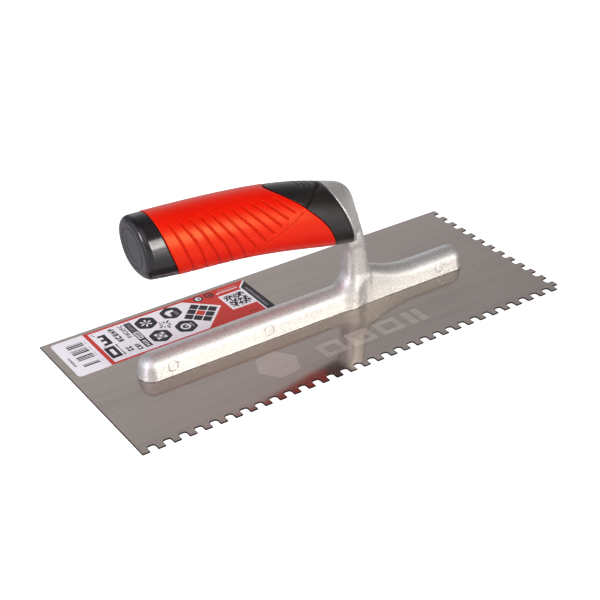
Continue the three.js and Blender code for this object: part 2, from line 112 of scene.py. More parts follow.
def polyline_field(lines, x0, x1, z0, z1, step, width_of, profile):
    """A 2D grid over the side view: the deepest value of profile(distance, share along, side) over the given strokes."""
    xs, zs = np.arange(x0, x1, step), np.arange(z0, z1, step)
    X, Z = np.meshgrid(xs, zs, indexing="ij")
    out = np.zeros_like(X)
    for line in lines:
        p = spline(line, 6)
        seg = np.diff(p, axis=0)
        ln = np.hypot(seg[:, 0], seg[:, 1])
        total, run = ln.sum(), 0.0
        lo, hi = p.min(0) - 3, p.max(0) + 3
        i0, i1 = np.searchsorted(xs, [lo[0], hi[0]])
        j0, j1 = np.searchsorted(zs, [lo[1], hi[1]])
        sx, sz = X[i0:i1, j0:j1], Z[i0:i1, j0:j1]
        best = np.full(sx.shape, 1e9)
        along = np.zeros(sx.shape)
        side = np.zeros(sx.shape)
        for k in range(len(seg)):
            dx, dz = sx - p[k, 0], sz - p[k, 1]
            t = np.clip((dx * seg[k, 0] + dz * seg[k, 1]) / ln[k] ** 2, 0, 1)
            ex, ez = dx - t * seg[k, 0], dz - t * seg[k, 1]
            d = np.hypot(ex, ez)
            near = d < best
            best = np.where(near, d, best)
            along = np.where(near, (run + t * ln[k]) / total, along)
            side = np.where(near, np.sign(seg[k, 0] * dz - seg[k, 1] * dx), side)
            run += ln[k]
        out[i0:i1, j0:j1] = np.maximum(out[i0:i1, j0:j1], profile(best, along, side, total))
    return xs, zs, out


def spline(points, n):
    """Catmull-Rom through the points."""
    p = np.array(points, float)
    q = np.vstack([2 * p[0] - p[1], p, 2 * p[-1] - p[-2]])
    out = []
    for i in range(1, len(q) - 2):
        for j in range(n):
            t = j / n
            out.append(0.5 * ((2 * q[i]) + (-q[i - 1] + q[i + 1]) * t + (2 * q[i - 1] - 5 * q[i] + 4 * q[i + 1] - q[i + 2]) * t * t
                              + (-q[i - 1] + 3 * q[i] - 3 * q[i + 1] + q[i + 2]) * t ** 3))
    out.append(p[-1])
    return np.array(out)


def lookup(field, x, z):
    """Bilinear sample of a (xs, zs, values) grid, held at its border."""
    xs, zs, v = field
    fx = np.clip((x - xs[0]) / (xs[1] - xs[0]), 0, len(xs) - 1.001)
    fz = np.clip((z - zs[0]) / (zs[1] - zs[0]), 0, len(zs) - 1.001)
    i, j = fx.astype(int), fz.astype(int)
    u, w = fx - i, fz - j
    return (v[i, j] * (1 - u) * (1 - w) + v[i + 1, j] * u * (1 - w) + v[i, j + 1] * (1 - u) * w + v[i + 1, j + 1] * u * w)


def table(k, v):
    """Fast lookup in an evenly sampled table."""
    k0, dk, n = k[0], k[1] - k[0], len(k)

    def f(x):
        t = np.clip((x - k0) / dk, 0, n - 1.001)
        i = t.astype(int)
        u = t - i
        return v[i] * (1 - u) + v[i + 1] * u

    return f


# ------------------------------------------------------------------ mesher: a closed skin on the zero level of a distance function
def skin(f, lo, hi, h, lip=1.35, passes=3):
    """Surface nets with the points pulled onto the surface. Returns (vertices in mm, quads, normals)."""
    lo, hi = np.array(lo, float), np.array(hi, float)
    B = 8
    nb = np.ceil((hi - lo) / (B * h)).astype(int)
    n = nb * B + 1
    V = np.empty(n, np.float32)
    # coarse pass: blocks that can't hold the surface are filled with a sign
    c = np.stack(np.meshgrid(*[(np.arange(k) + 0.5) * B * h for k in nb], indexing="ij"), -1).reshape(-1, 3) + lo
    fc = f(c[:, 0], c[:, 1], c[:, 2])
    reach = (B * h * 0.8661 + h) * lip
    act = np.abs(fc) < reach
    ids = np.stack(np.unravel_index(np.arange(len(c)), nb), -1)
    coarse = np.where(fc < 0, -1.0, 1.0).reshape(nb).astype(np.float32)
    V[:-1, :-1, :-1] = coarse.repeat(B, 0).repeat(B, 1).repeat(B, 2)
    V[-1], V[:, -1], V[:, :, -1] = V[-2], V[:, -2], V[:, :, -2]
    off = np.stack(np.meshgrid(*[np.arange(B + 1)] * 3, indexing="ij"), -1).reshape(-1, 3)
    blocks = ids[act]
    for s in range(0, len(blocks), 400):
        g = (blocks[s:s + 400, None, :] * B + off[None]).reshape(-1, 3)
        p = g * h + lo
        V[g[:, 0], g[:, 1], g[:, 2]] = f(p[:, 0], p[:, 1], p[:, 2])
    inside = V < 0
    cnt = np.zeros(n - 1, np.int8)
    for a in (0, 1):
        for b in (0, 1):
            for d in (0, 1):
                cnt += inside[a:n[0] - 1 + a, b:n[1] - 1 + b, d:n[2] - 1 + d]
    cells = np.argwhere((cnt > 0) & (cnt < 8))
    index = np.full(n - 1, -1, np.int32)
    index[cells[:, 0], cells[:, 1], cells[:, 2]] = np.arange(len(cells))
    corners = [(a, b, d) for a in (0, 1) for b in (0, 1) for d in (0, 1)]
    val = {k: V[cells[:, 0] + k[0], cells[:, 1] + k[1], cells[:, 2] + k[2]] for k in corners}
    acc, num = np.zeros((len(cells), 3)), np.zeros(len(cells))
    for k in corners:
        for ax in range(3):
            if k[ax] == 0:
                k2 = tuple(1 if i == ax else k[i] for i in range(3))
                a, b = val[k], val[k2]
                m = (a < 0) != (b < 0)
                t = np.where(m, a / np.where(m, a - b, 1), 0)
                p = np.array(k, float)[None].repeat(len(cells), 0)
                p[:, ax] += t
                acc += p * m[:, None]
                num += m
    P = (cells + acc / num[:, None]) * h + lo
    quads = []
    for ax in range(3):
        o = [i for i in range(3) if i != ax]
        sl0, sl1 = [slice(1, -1)] * 3, [slice(1, -1)] * 3
        sl0[ax], sl1[ax] = slice(0, -1), slice(1, None)
        a, b = inside[tuple(sl0)], inside[tuple(sl1)]
        e = np.argwhere(a != b)
        flip = a[e[:, 0], e[:, 1], e[:, 2]]
        e = e + 1
        e[:, ax] -= 1
        q = []
        for d0, d1 in ((-1, -1), (0, -1), (0, 0), (-1, 0)):
            k = e.copy()
            k[:, o[0]] += d0
            k[:, o[1]] += d1
            q.append(index[k[:, 0], k[:, 1], k[:, 2]])
        q = np.stack(q, 1)
        if ax == 1:
            flip = ~flip
        q = np.where(flip[:, None], q, q[:, ::-1])
        quads.append(q)
    Q = np.concatenate(quads)

    def grad(p, e=0.06):
        g = np.empty_like(p)
        for ax in range(3):
            a, b = p.copy(), p.copy()
            a[:, ax] += e
            b[:, ax] -= e
            g[:, ax] = (f(a[:, 0], a[:, 1], a[:, 2]) - f(b[:, 0], b[:, 1], b[:, 2])) / (2 * e)
        return g

    def pull(p, times):
        for _ in range(times):
            d, g = f(p[:, 0], p[:, 1], p[:, 2]), grad(p)
            step = -d[:, None] * g / np.maximum((g * g).sum(1), 0.05)[:, None]
            ln = np.linalg.norm(step, axis=1)
            p = p + step * np.minimum(1, 0.6 * h / np.maximum(ln, 1e-9))[:, None]
        return p

    P = pull(P, 1)
    edges = np.concatenate([Q[:, [0, 1]], Q[:, [1, 2]], Q[:, [2, 3]], Q[:, [3, 0]]])
    for _ in range(passes):
        s, k = np.zeros_like(P), np.zeros(len(P))
        for ax in range(3):
            s[:, ax] = np.bincount(edges[:, 0], P[edges[:, 1], ax], len(P)) + np.bincount(edges[:, 1], P[edges[:, 0], ax], len(P))
        k = np.bincount(edges[:, 0], minlength=len(P)) + np.bincount(edges[:, 1], minlength=len(P))
        P = pull(P + 0.5 * (s / k[:, None] - P), 1)
    P = pull(P, 1)
    N = grad(P)
    N /= np.maximum(np.linalg.norm(N, axis=1), 1e-9)[:, None]
    return P, Q, N


def mesh_object(name, verts_mm, faces, materials, normals=None, smooth_shade=True, face_mats=None):
    me = bpy.data.meshes.new(name)
    me.from_pydata((np.asarray(verts_mm) * MM).tolist(), [], [list(map(int, q)) for q in faces])
    me.validate()
    for m in materials:
        me.materials.append(m)
    if face_mats is not None:
        me.polygons.foreach_set("material_index", np.asarray(face_mats, np.int32))
    if smooth_shade:
        me.polygons.foreach_set("use_smooth", np.ones(len(me.polygons), bool))
    if normals is not None:
        me.normals_split_custom_set_from_vertices(np.asarray(normals, float).tolist())
    me.update()
    o = bpy.data.objects.new(name, me)
    bpy.context.scene.collection.objects.link(o)
    return o


# ------------------------------------------------------------------ materials
def tree(name):
    m = bpy.data.materials.new(name)
    m.use_nodes = True
    nt = m.node_tree
    nt.nodes.clear()
    out = nt.nodes.new("ShaderNodeOutputMaterial")
    b = nt.nodes.new("ShaderNodeBsdfPrincipled")
    nt.links.new(b.outputs[0], out.inputs["Surface"])
    return m, nt, b


def N(nt, kind, **kw):
    n = nt.nodes.new(kind)
    for k, v in kw.items():
        if k == "ins":
            for i, x in v.items():
                n.inputs[i].default_value = x
        else:
            setattr(n, k, v)
    return n


def coords(nt, scale=(1, 1, 1), loc=(0, 0, 0)):
    tc = N(nt, "ShaderNodeTexCoord")
    mp = N(nt, "ShaderNodeMapping")
    mp.inputs["Scale"].default_value = scale
    mp.inputs["Location"].default_value = loc
    nt.links.new(tc.outputs["Object"], mp.inputs["Vector"])
    return mp.outputs["Vector"]


def noise(nt, vec, scale, detail=2.0, rough=0.5, dist=0.0):
    n = N(nt, "ShaderNodeTexNoise", ins={"Scale": scale, "Detail": detail, "Roughness": rough, "Distortion": dist})
    nt.links.new(vec, n.inputs["Vector"])
    return n.outputs["Fac"]


def remap(nt, fac, a, b, lo=0.0, hi=1.0):
    n = N(nt, "ShaderNodeMapRange", ins={"From Min": a, "From Max": b, "To Min": lo, "To Max": hi})
    nt.links.new(fac, n.inputs["Value"])
    return n.outputs["Result"]


def ramp(nt, fac, stops):
    n = N(nt, "ShaderNodeValToRGB")
    cr = n.color_ramp
    while len(cr.elements) < len(stops):
        cr.elements.new(0.5)
    for e, (p, c) in zip(cr.elements, stops):
        e.position = p
        e.color = (*c, 1)
    nt.links.new(fac, n.inputs["Fac"])
    return n.outputs["Color"]


def mixc(nt, fac, a, b, mode="MIX"):
    n = N(nt, "ShaderNodeMix", data_type="RGBA", blend_type=mode)
    for sock, v in ((n.inputs[0], fac), (n.inputs[6], a), (n.inputs[7], b)):
        if hasattr(v, "is_output"):
            nt.links.new(v, sock)
        elif isinstance(v, (int, float)):
            sock.default_value = v
        else:
            sock.default_value = (*v, 1)
    return n.outputs[2]


def bump(nt, bsdf, layers):
    """layers: (height socket, strength, distance in m), stacked."""
    last = None
    for h, s, d in layers:
        b = N(nt, "ShaderNodeBump", ins={"Strength": s, "Distance": d})
        nt.links.new(h, b.inputs["Height"])
        if last is not None:
            nt.links.new(last, b.inputs["Normal"])
        last = b.outputs["Normal"]
    nt.links.new(last, bsdf.inputs["Normal"])


def blade_steel(name, tint=(0.60, 0.545, 0.50), rough=0.10, haze=0.30):
    """Polished spring steel: fine lengthwise lines, faint stains, specks, and a hazy second reflection."""
    m, nt, b = tree(name)
    L = nt.links.new
    fine = noise(nt, coords(nt, (1.2, 260, 260)), 6.0, 3.0, 0.6)
    broad = noise(nt, coords(nt, (1.0, 34, 34)), 5.0, 3.0, 0.55)
    stain = noise(nt, coords(nt, (1.0, 2.2, 1.0)), 14.0, 4.0, 0.6, 0.3)
    speck = noise(nt, coords(nt, (1, 1, 1)), 900.0, 1.0, 0.5)
    lines = ramp(nt, fine, [(0.30, tuple(c * 0.90 for c in tint)), (0.55, tint), (0.78, tuple(min(1, c * 1.08) for c in tint))])
    wide = ramp(nt, broad, [(0.30, (0.91, 0.91, 0.915)), (0.5, (0.985, 0.98, 0.98)), (0.70, (1.0, 0.99, 0.985))])
    c = mixc(nt, 1.0, lines, wide, "MULTIPLY")
    c = mixc(nt, 1.0, c, ramp(nt, stain, [(0.35, (0.95, 0.945, 0.955)), (0.6, (1, 1, 1))]), "MULTIPLY")
    c = mixc(nt, remap(nt, speck, 0.80, 0.84), c, (0.30, 0.27, 0.25))
    h = N(nt, "ShaderNodeBsdfPrincipled")
    tan = N(nt, "ShaderNodeCombineXYZ", ins={"X": 1.0, "Y": 0.0, "Z": 0.0})
    for k, lo, hi, an in ((b, rough * 0.85, rough * 1.25, 0.5), (h, 0.42, 0.54, 0.3)):
        L(c, k.inputs["Base Color"])
        k.inputs["Metallic"].default_value = 1.0
        L(remap(nt, fine, 0.3, 0.7, lo, hi), k.inputs["Roughness"])
        k.inputs["Anisotropic"].default_value = an
        L(tan.outputs[0], k.inputs["Tangent"])
        bump(nt, k, [(fine, 0.02, 0.0002), (broad, 0.012, 0.0006)])
    mix = N(nt, "ShaderNodeMixShader")
    L(remap(nt, stain, 0.3, 0.7, haze * 0.85, haze * 1.15), mix.inputs[0])
    L(b.outputs[0], mix.inputs[1])
    L(h.outputs[0], mix.inputs[2])
    out = next(n for n in nt.nodes if n.type == "OUTPUT_MATERIAL")
    L(mix.outputs[0], out.inputs["Surface"])
    return m


def steel_edge(name):
    """Sheared edge of the blade: near-black, with faint vertical tearing."""
    m, nt, b = tree(name)
    v = coords(nt, (700, 700, 60))
    f = noise(nt, v, 1.0, 2.0, 0.6)
    nt.links.new(ramp(nt, f, [(0.3, (0.008, 0.006, 0.005)), (0.7, (0.028, 0.021, 0.018))]), b.inputs["Base Color"])
    b.inputs["Metallic"].default_value = 0.4
    b.inputs["Roughness"].default_value = 0.6
    b.inputs["Specular IOR Level"].default_value = 0.25
    bump(nt, b, [(f, 0.3, 0.0001)])
    return m


def cast_alloy(name):
    """Tumbled die casting: sandy pebbled grain, flow mottling, a few pits."""
    m, nt, b = tree(name)
    v = coords(nt)
    grain = noise(nt, v, 1500.0, 3.0, 0.65)
    pebble = noise(nt, v, 900.0, 2.0, 0.6)
    flow = noise(nt, coords(nt, (1.0, 1.5, 1.5)), 55.0, 4.0, 0.55, 0.4)
    pit = noise(nt, v, 330.0, 1.0, 0.4)
    c = ramp(nt, pebble, [(0.28, (0.63, 0.622, 0.60)), (0.5, (0.76, 0.75, 0.722)), (0.72, (0.895, 0.882, 0.855))])
    c = mixc(nt, 1.0, c, ramp(nt, flow, [(0.35, (0.96, 0.96, 0.965)), (0.6, (1, 1, 1))]), "MULTIPLY")
    c = mixc(nt, remap(nt, pit, 0.76, 0.84, 0.0, 0.4), c, (0.42, 0.40, 0.38))
    nt.links.new(c, b.inputs["Base Color"])
    b.inputs["Metallic"].default_value = 0.80
    nt.links.new(remap(nt, grain, 0.3, 0.7, 0.44, 0.58), b.inputs["Roughness"])
    bump(nt, b, [(pebble, 0.22, 0.0005), (grain, 0.38, 0.00018), (pit, 0.08, 0.0006)])
    return m


def soft_red(name):
    """Soft moulded grip: fine matt texture, faint pigment clouding and lint, with painted shade darkening the grooves
    and the seam line.
    """
    m, nt, b = tree(name)
    v = coords(nt)
    skin_ = noise(nt, v, 2200.0, 2.0, 0.6)
    cloud = noise(nt, v, 42.0, 3.0, 0.5)
    lint = noise(nt, coords(nt, (1.0, 2.5, 1.0)), 300.0, 2.0, 0.5, 1.5)
    c = ramp(nt, cloud, [(0.3, (0.84, 0.004, 0.0006)), (0.7, (0.90, 0.006, 0.0010))])
    c = mixc(nt, remap(nt, lint, 0.80, 0.86, 0.0, 0.25), c, (0.86, 0.30, 0.25))
    # painted shade: the base colour goes darker red with the groove and seam depth ('relief'), standing in for the
    # shade inside the recesses
    low = N(nt, "ShaderNodeAttribute")
    low.attribute_name = "relief"
    c = mixc(nt, remap(nt, low.outputs["Fac"], 0.08, 0.5, 0.0, 0.60), c, (0.56, 0.002, 0.0004))
    nt.links.new(c, b.inputs["Base Color"])
    nt.links.new(remap(nt, cloud, 0.3, 0.7, 0.34, 0.40), b.inputs["Roughness"])
    b.inputs["Specular IOR Level"].default_value = 0.52
    b.inputs["Specular Tint"].default_value = (1.0, 0.86, 0.30, 1)
    bump(nt, b, [(skin_, 0.08, 0.0001)])
    return m


def hard_black(name, rough=0.27, base=(0.0135, 0.0125, 0.0130)):
    """Satin moulded black plastic: spark-eroded texture, light handling marks."""
    m, nt, b = tree(name)
    v = coords(nt)
    fine = noise(nt, v, 2600.0, 2.0, 0.6)
    wave = noise(nt, v, 60.0, 3.0, 0.5)
    mark = noise(nt, coords(nt, (1.0, 3.0, 1.0)), 120.0, 4.0, 0.6, 0.8)
    nt.links.new(ramp(nt, wave, [(0.3, tuple(c * 0.72 for c in base)), (0.7, base)]), b.inputs["Base Color"])
    nt.links.new(remap(nt, mark, 0.25, 0.75, rough - 0.035, rough + 0.05), b.inputs["Roughness"])
    low = N(nt, "ShaderNodeAttribute")
    low.attribute_name = "relief"
    nt.links.new(remap(nt, low.outputs["Fac"], 0.06, 0.4, 0.62, 0.04), b.inputs["Specular IOR Level"])
    bump(nt, b, [(fine, 0.10, 0.00008)])
    return m


def print_ink(name, colour, rough=0.32, painted_glow=0.0):
    """Ink on gloss film: slight mottling of the print and of the film's gloss."""
    m, nt, b = tree(name)
    v = coords(nt)
    f = noise(nt, v, 380.0, 3.0, 0.6)
    g = noise(nt, v, 30.0, 2.0, 0.5)
    lo, hi = tuple(c * 0.94 for c in colour), tuple(min(1, c * 1.04) for c in colour)
    nt.links.new(ramp(nt, f, [(0.3, lo), (0.7, hi)]), b.inputs["Base Color"])
    nt.links.new(remap(nt, g, 0.3, 0.7, rough - 0.05, rough + 0.06), b.inputs["Roughness"])
    b.inputs["Specular IOR Level"].default_value = 0.3
    if painted_glow:  # painted glow: the white film emits light to lift its white, though it is no lamp
        b.inputs["Emission Color"].default_value = (*colour, 1)
        b.inputs["Emission Strength"].default_value = painted_glow
    bump(nt, b, [(f, 0.05, 0.00006)])
    return m


def plated(name, colour=(0.62, 0.61, 0.58), rough=0.24):
    m, nt, b = tree(name)
    f = noise(nt, coords(nt), 700.0, 3.0, 0.6)
    nt.links.new(ramp(nt, f, [(0.3, tuple(c * 0.85 for c in colour)), (0.7, colour)]), b.inputs["Base Color"])
    b.inputs["Metallic"].default_value = 1.0
    nt.links.new(remap(nt, f, 0.3, 0.7, rough, rough + 0.12), b.inputs["Roughness"])
    bump(nt, b, [(f, 0.12, 0.0001)])
    return m


M_BLADE = blade_steel("polished_blade_steel", (0.520, 0.456, 0.402), 0.10, 0.25)
M_ETCH = blade_steel("etched_blade_steel", (0.70, 0.625, 0.555), 0.14, 0.45)
M_EDGE = steel_edge("sheared_steel_edge")
M_CAST = cast_alloy("tumbled_casting")
M_RED = soft_red("soft_red_grip")
M_BLACK = hard_black("satin_black_core", 0.29, (0.0215, 0.0185, 0.0175))
M_CAP = hard_black("satin_black_cap", 0.165, (0.0165, 0.0150, 0.0165))
M_RIVET = plated("ground_rivet", (0.66, 0.65, 0.63), 0.28)
M_SCREW = plated("plated_screw", (0.70, 0.69, 0.64), 0.22)
INK = {
    # the white film carries a painted glow (emission) on top of its own white
    "white": print_ink("film_white", (0.955, 0.95, 0.985), painted_glow=0.10),
    "red": print_ink("ink_red", (0.74, 0.040, 0.024)),
    "dark": print_ink("ink_dark", (0.016, 0.015, 0.016)),
    "grey": print_ink("ink_grey", (0.36, 0.35, 0.38)),
    "pale": print_ink("ink_pale_red", (0.78, 0.42, 0.38)),
}

# ------------------------------------------------------------------ handle form
TILT_RATE = (TILT_FRONT - TILT_REAR) / (X_FRONT - X_REAR)


def tilt_at(x):
    return TILT_REAR + TILT_RATE * (x - X_REAR)


def station(x, z):
    """The centre-line station whose tilted section passes through (x, z), and the height s within that section."""
    x0 = x - (z - 66) * 0.22
    for _ in range(4):
        x0 = np.clip(x0, -135, 45)
        t = tilt_at(x0)
        c, s = np.cos(t), np.sin(t)
        zc, dz = quartic(CENTRE_Z, x0), dquartic(CENTRE_Z, x0)
        g = (x - x0) * c - (z - zc) * s
        x0 = x0 - g / (-c + dz * s - TILT_RATE * ((x - x0) * s + (z - zc) * c))
    x0 = np.clip(x0, -135, 45)
    t = tilt_at(x0)
    return x0, (x - x0) * np.sin(t) + (z - quartic(CENTRE_Z, x0)) * np.cos(t)


def oval(s, y, a, b):
    """Signed distance (near the surface) to a superellipse of half-width a and half-height b."""
    n = np.where(s >= 0, SHAPE_TOP, SHAPE_BOTTOM)
    u, v = np.maximum(np.abs(y) / a, 1e-4), np.maximum(np.abs(s) / b, 1e-4)
    un, vn = u ** (n - 1), v ** (n - 1)
    g = np.maximum(un * u + vn * v, 1e-9) ** (1 / n)
    k = g ** (1 - n)
    return (g - 1) / np.maximum(np.hypot(k * un / a, k * vn / b), 1e-6)


def handle_form(x, y, z, grow=0.0, st=None):
    x0, s = st if st is not None else station(x, z)
    xc = np.clip(x0, -112, 26)
    return oval(s, y, quartic(HALF_W, xc) + grow, quartic(HALF_H, xc) + grow)


def end_plane(x, z, at, tilt, sign):
    zc = quartic(CENTRE_Z, at)
    return sign * ((x - at) * math.cos(tilt) - (z - zc) * math.sin(tilt))


kz, cap_x, cap_dx = dense(CAP_LINE, 1, 0, 20, 125, 2.0)
cap_at, cap_slope = table(kz, cap_x), table(kz, cap_dx)
kz, ton_x, ton_dx = dense(TONGUE_LINE, 1, 0, 20, 125, 1.2)
ton_at, ton_slope = table(kz, ton_x), table(kz, ton_dx)


def cap_cut(x, z):
    """Positive in front of the cap's joint line."""
    return (x - cap_at(z)) / np.sqrt(1 + cap_slope(z) ** 2)


def tongue_cut(x, z):
    """Positive in front of the tongue's joint line."""
    return (x - ton_at(z)) / np.sqrt(1 + ton_slope(z) ** 2)


# tang frame
TANG_LEN = math.hypot(TANG_FRONT[0] - TANG_REAR[0], TANG_FRONT[1] - TANG_REAR[1])
TC, TS = (TANG_FRONT[0] - TANG_REAR[0]) / TANG_LEN, (TANG_FRONT[1] - TANG_REAR[1]) / TANG_LEN


def in_tang(x, z):
    dx, dz = x - TANG_REAR[0], z - TANG_REAR[1]
    return dx * TC + dz * TS, -dx * TS + dz * TC


def tang_bar(x, y, z, grow, a, b):
    p, q = in_tang(x, z)
    k = np.clip(p / TANG_LEN, -0.1, 1.2)
    hy, hz = 4.8 + 1.8 * k + grow, 6.4 + 3.4 * k + grow
    side = ((np.abs(y) / hy) ** 4 + (np.abs(q) / hz) ** 4) ** 0.25
    return np.maximum((side - 1) * np.minimum(hy, hz), np.maximum(a - p, p - b))


def tang_rod(x, y, z, r, a, b):
    p, q = in_tang(x, z)
    return np.maximum(np.hypot(y, q) - r, np.maximum(a - p, p - b))


# surface lines of the grip, side view (x, z)
GROOVES = [
    [(-90.7, 93.2), (-89.1, 89.3), (-86.7, 83.2), (-84.0, 76.1), (-81.6, 70.4), (-79.1, 63.3), (-76.6, 55)],
    [(-84.7, 92.8), (-81.2, 86.7), (-77.0, 78.3), (-74.5, 71.3), (-71.0, 62.2), (-68.4, 54)],
    [(-78.8, 92.4), (-74.1, 85.4), (-69.0, 74.9), (-65.5, 68.0), (-62.9, 61.7), (-60.0, 54)],
    [(-72.5, 92.0), (-68.1, 85.0), (-62.1, 75.1), (-58.2, 67.1), (-55.8, 62.2), (-52.2, 54)],
    [(-66.3, 91.7), (-60.8, 83.6), (-58.4, 80.0), (-53.5, 72.6), (-47.9, 61.3), (-46.3, 57.5)],
    [(-60.2, 91.2), (-56.5, 86.3), (-51.1, 78.5), (-45.0, 69.8), (-41.8, 64.7)],
    [(-54.0, 90.9), (-48.7, 84.3), (-42.2, 75.9), (-36.5, 68.1)],
    [(-48.0, 90.5), (-42.7, 84.8), (-36.9, 78.0), (-31.4, 71.2)],
    [(-41.7, 89.9), (-35.6, 84.3), (-26.6, 74.0)],
    [(-34.8, 89.2), (-28.4, 83.3), (-21.6, 76.7)],
    [(-27.1, 88.2), (-21.8, 83.6), (-16.8, 79.1)],
]
SEAM_RED = [(-11.0, 78.8), (-15.6, 76.1), (-22.2, 72.4), (-28.8, 69.6), (-35.8, 66.7), (-42.6, 63.2), (-48.6, 59.4), (-53.5, 55.6)]
SEAM_BLACK = [(9.4, 84.6), (8.0, 84.2), (2.1, 83.9), (-3.1, 81.9), (-9.4, 79.5)]


def channel(d, along, side, total):
    """Narrow channel: a short fall from the rear, a steep wall at the front, finer at its upper end."""
    t = side * d
    run, left = along * total, (1 - along) * total
    wide = 0.55 + 0.45 * smooth(run / 8.0)
    fall = smooth((t + 0.8 * wide) / (0.75 * wide))
    wall = smooth((0.55 * wide - t) / 0.32 + 0.5)
    return 0.58 * fall * wall * smooth(run / 3.0 + 0.3) * smooth(left / 0.8)


def hairline(d, along, side, total):
    return 0.42 * smooth((0.42 - d) / 0.34 + 0.5) * smooth(np.minimum(along, 1 - along) * total / 2.0 + 0.3)


def seamline(d, along, side, total):
    return 0.6 * smooth((0.5 - d) / 0.4 + 0.5) * smooth((1 - along) * total / 1.2 + 0.2)


groove_field = polyline_field(GROOVES, -104, 20, 44, 102, 0.12, None, channel)
red_seam_field = polyline_field([SEAM_RED], -104, 20, 44, 102, 0.12, None, hairline)
black_seam_field = polyline_field([SEAM_BLACK], -40, 22, 60, 102, 0.12, None, seamline)
groove_field = (groove_field[0], groove_field[1], np.maximum(groove_field[2], red_seam_field[2]))


def sleeve(x, y, z):
    st = station(x, z)
    out = handle_form(x, y, z, 0.2, st)
    inn = handle_form(x, y, z, -SLEEVE_T, st)
    cut = np.maximum(0.15 - cap_cut(x, z), tongue_cut(x, z) + 0.15)
    gate = np.hypot(x + 44.7, z - 74.7)
    relief = lookup(groove_field, x, z) + np.where(gate < 3, 0.25 * np.exp(-((gate - 1.15) / 0.3) ** 2), 0.0)
    return np.maximum(rounded_and(out + relief, cut, 0.4), -inn)


def core(x, y, z):
    st = station(x, z)
    out = handle_form(x, y, z, 0.0, st) + lookup(black_seam_field, x, z) * smooth((np.abs(y) - 4.5) / 2.5) + emblem(x, y, z)
    f = rounded_and(out, end_plane(x, z, X_FRONT, TILT_FRONT, 1), 0.7)
    f = np.maximum(f, 0.15 - cap_cut(x, z))
    deep = handle_form(x, y, z, -SLEEVE_T - GAP, st)
    room = np.maximum(np.maximum(tongue_cut(x, z) - 0.15, -6 - cap_cut(x, z)), -deep)
    f = rounded_and(f, -room, 0.25)
    f = np.maximum(f, -tang_bar(x, y, z, GAP, -0.5, TANG_LEN + 12))
    f = np.maximum(f, -tang_rod(x, y, z, 2.5 + GAP, -14.5, 2))
    return np.maximum(f, -tang_rod(x, y, z, 8.0, -60, -9.5))


def emblem(x, y, z):
    """Three short plain slots moulded across the top of the collar."""
    p = (x + 1.2) * math.cos(0.2) - (z - 88) * math.sin(0.2)
    out = np.zeros_like(x)
    for c in (-6.0, -2.4, 1.2):
        d = np.hypot(p - c, np.maximum(np.abs(y) - 3.4, 0))
        out = np.maximum(out, 0.4 * smooth((0.75 - d) / 0.4 + 0.5))
    return out * (z > 80)


def cap(x, y, z):
    st = station(x, z)
    face = end_plane(x, z, X_REAR, TILT_REAR, -1)
    s = (x - X_REAR) * math.sin(TILT_REAR) + (z - quartic(CENTRE_Z, X_REAR)) * math.cos(TILT_REAR)
    ring = np.abs(oval(s, y, 9.6, 11.6))
    inner = oval(s, y, 6.2, 7.8)
    mark = 0.28 * smooth((0.34 - ring) / 0.3 + 0.5) + 0.22 * smooth((-inner) / 0.3 + 0.5)
    f = rounded_and(handle_form(x, y, z, 0.0, st), face + mark, CAP_R)
    f = rounded_and(f, cap_cut(x, z) + 0.15, 0.3)
    f = np.minimum(f, tang_rod(x, y, z, 7.6, -39, -24))
    return np.maximum(f, -tang_rod(x, y, z, 5.8, -34, -20))


# ------------------------------------------------------------------ casting form
kx, ridge_z, _ = dense(RIDGE, 0, 1, -118, 118, 1.6)
ridge_at = table(kx, ridge_z)
shank_tab = [dense(SHANK, 0, i, 0, 60, 1.5) for i in (1, 2, 3)]
shank_at = [table(k, v) for k, v, _ in shank_tab]

spine = spline(SPINE, 6)
RIM = X_FRONT + GAP + 1.4


def rim_ring(at, grow, n):
    zc, a, b = quartic(CENTRE_Z, at), quartic(HALF_W, X_FRONT) + grow, quartic(HALF_H, X_FRONT) + grow
    pts = []
    for i in range(n):
        t = 2 * math.pi * i / n
        e = 2 / (SHAPE_TOP if math.sin(t) >= 0 else SHAPE_BOTTOM)
        s = b * math.copysign(abs(math.sin(t)) ** e, math.sin(t))
        pts.append((at + math.sin(TILT_FRONT) * s, a * math.copysign(abs(math.cos(t)) ** e, math.cos(t)), zc + math.cos(TILT_FRONT) * s))
    return pts


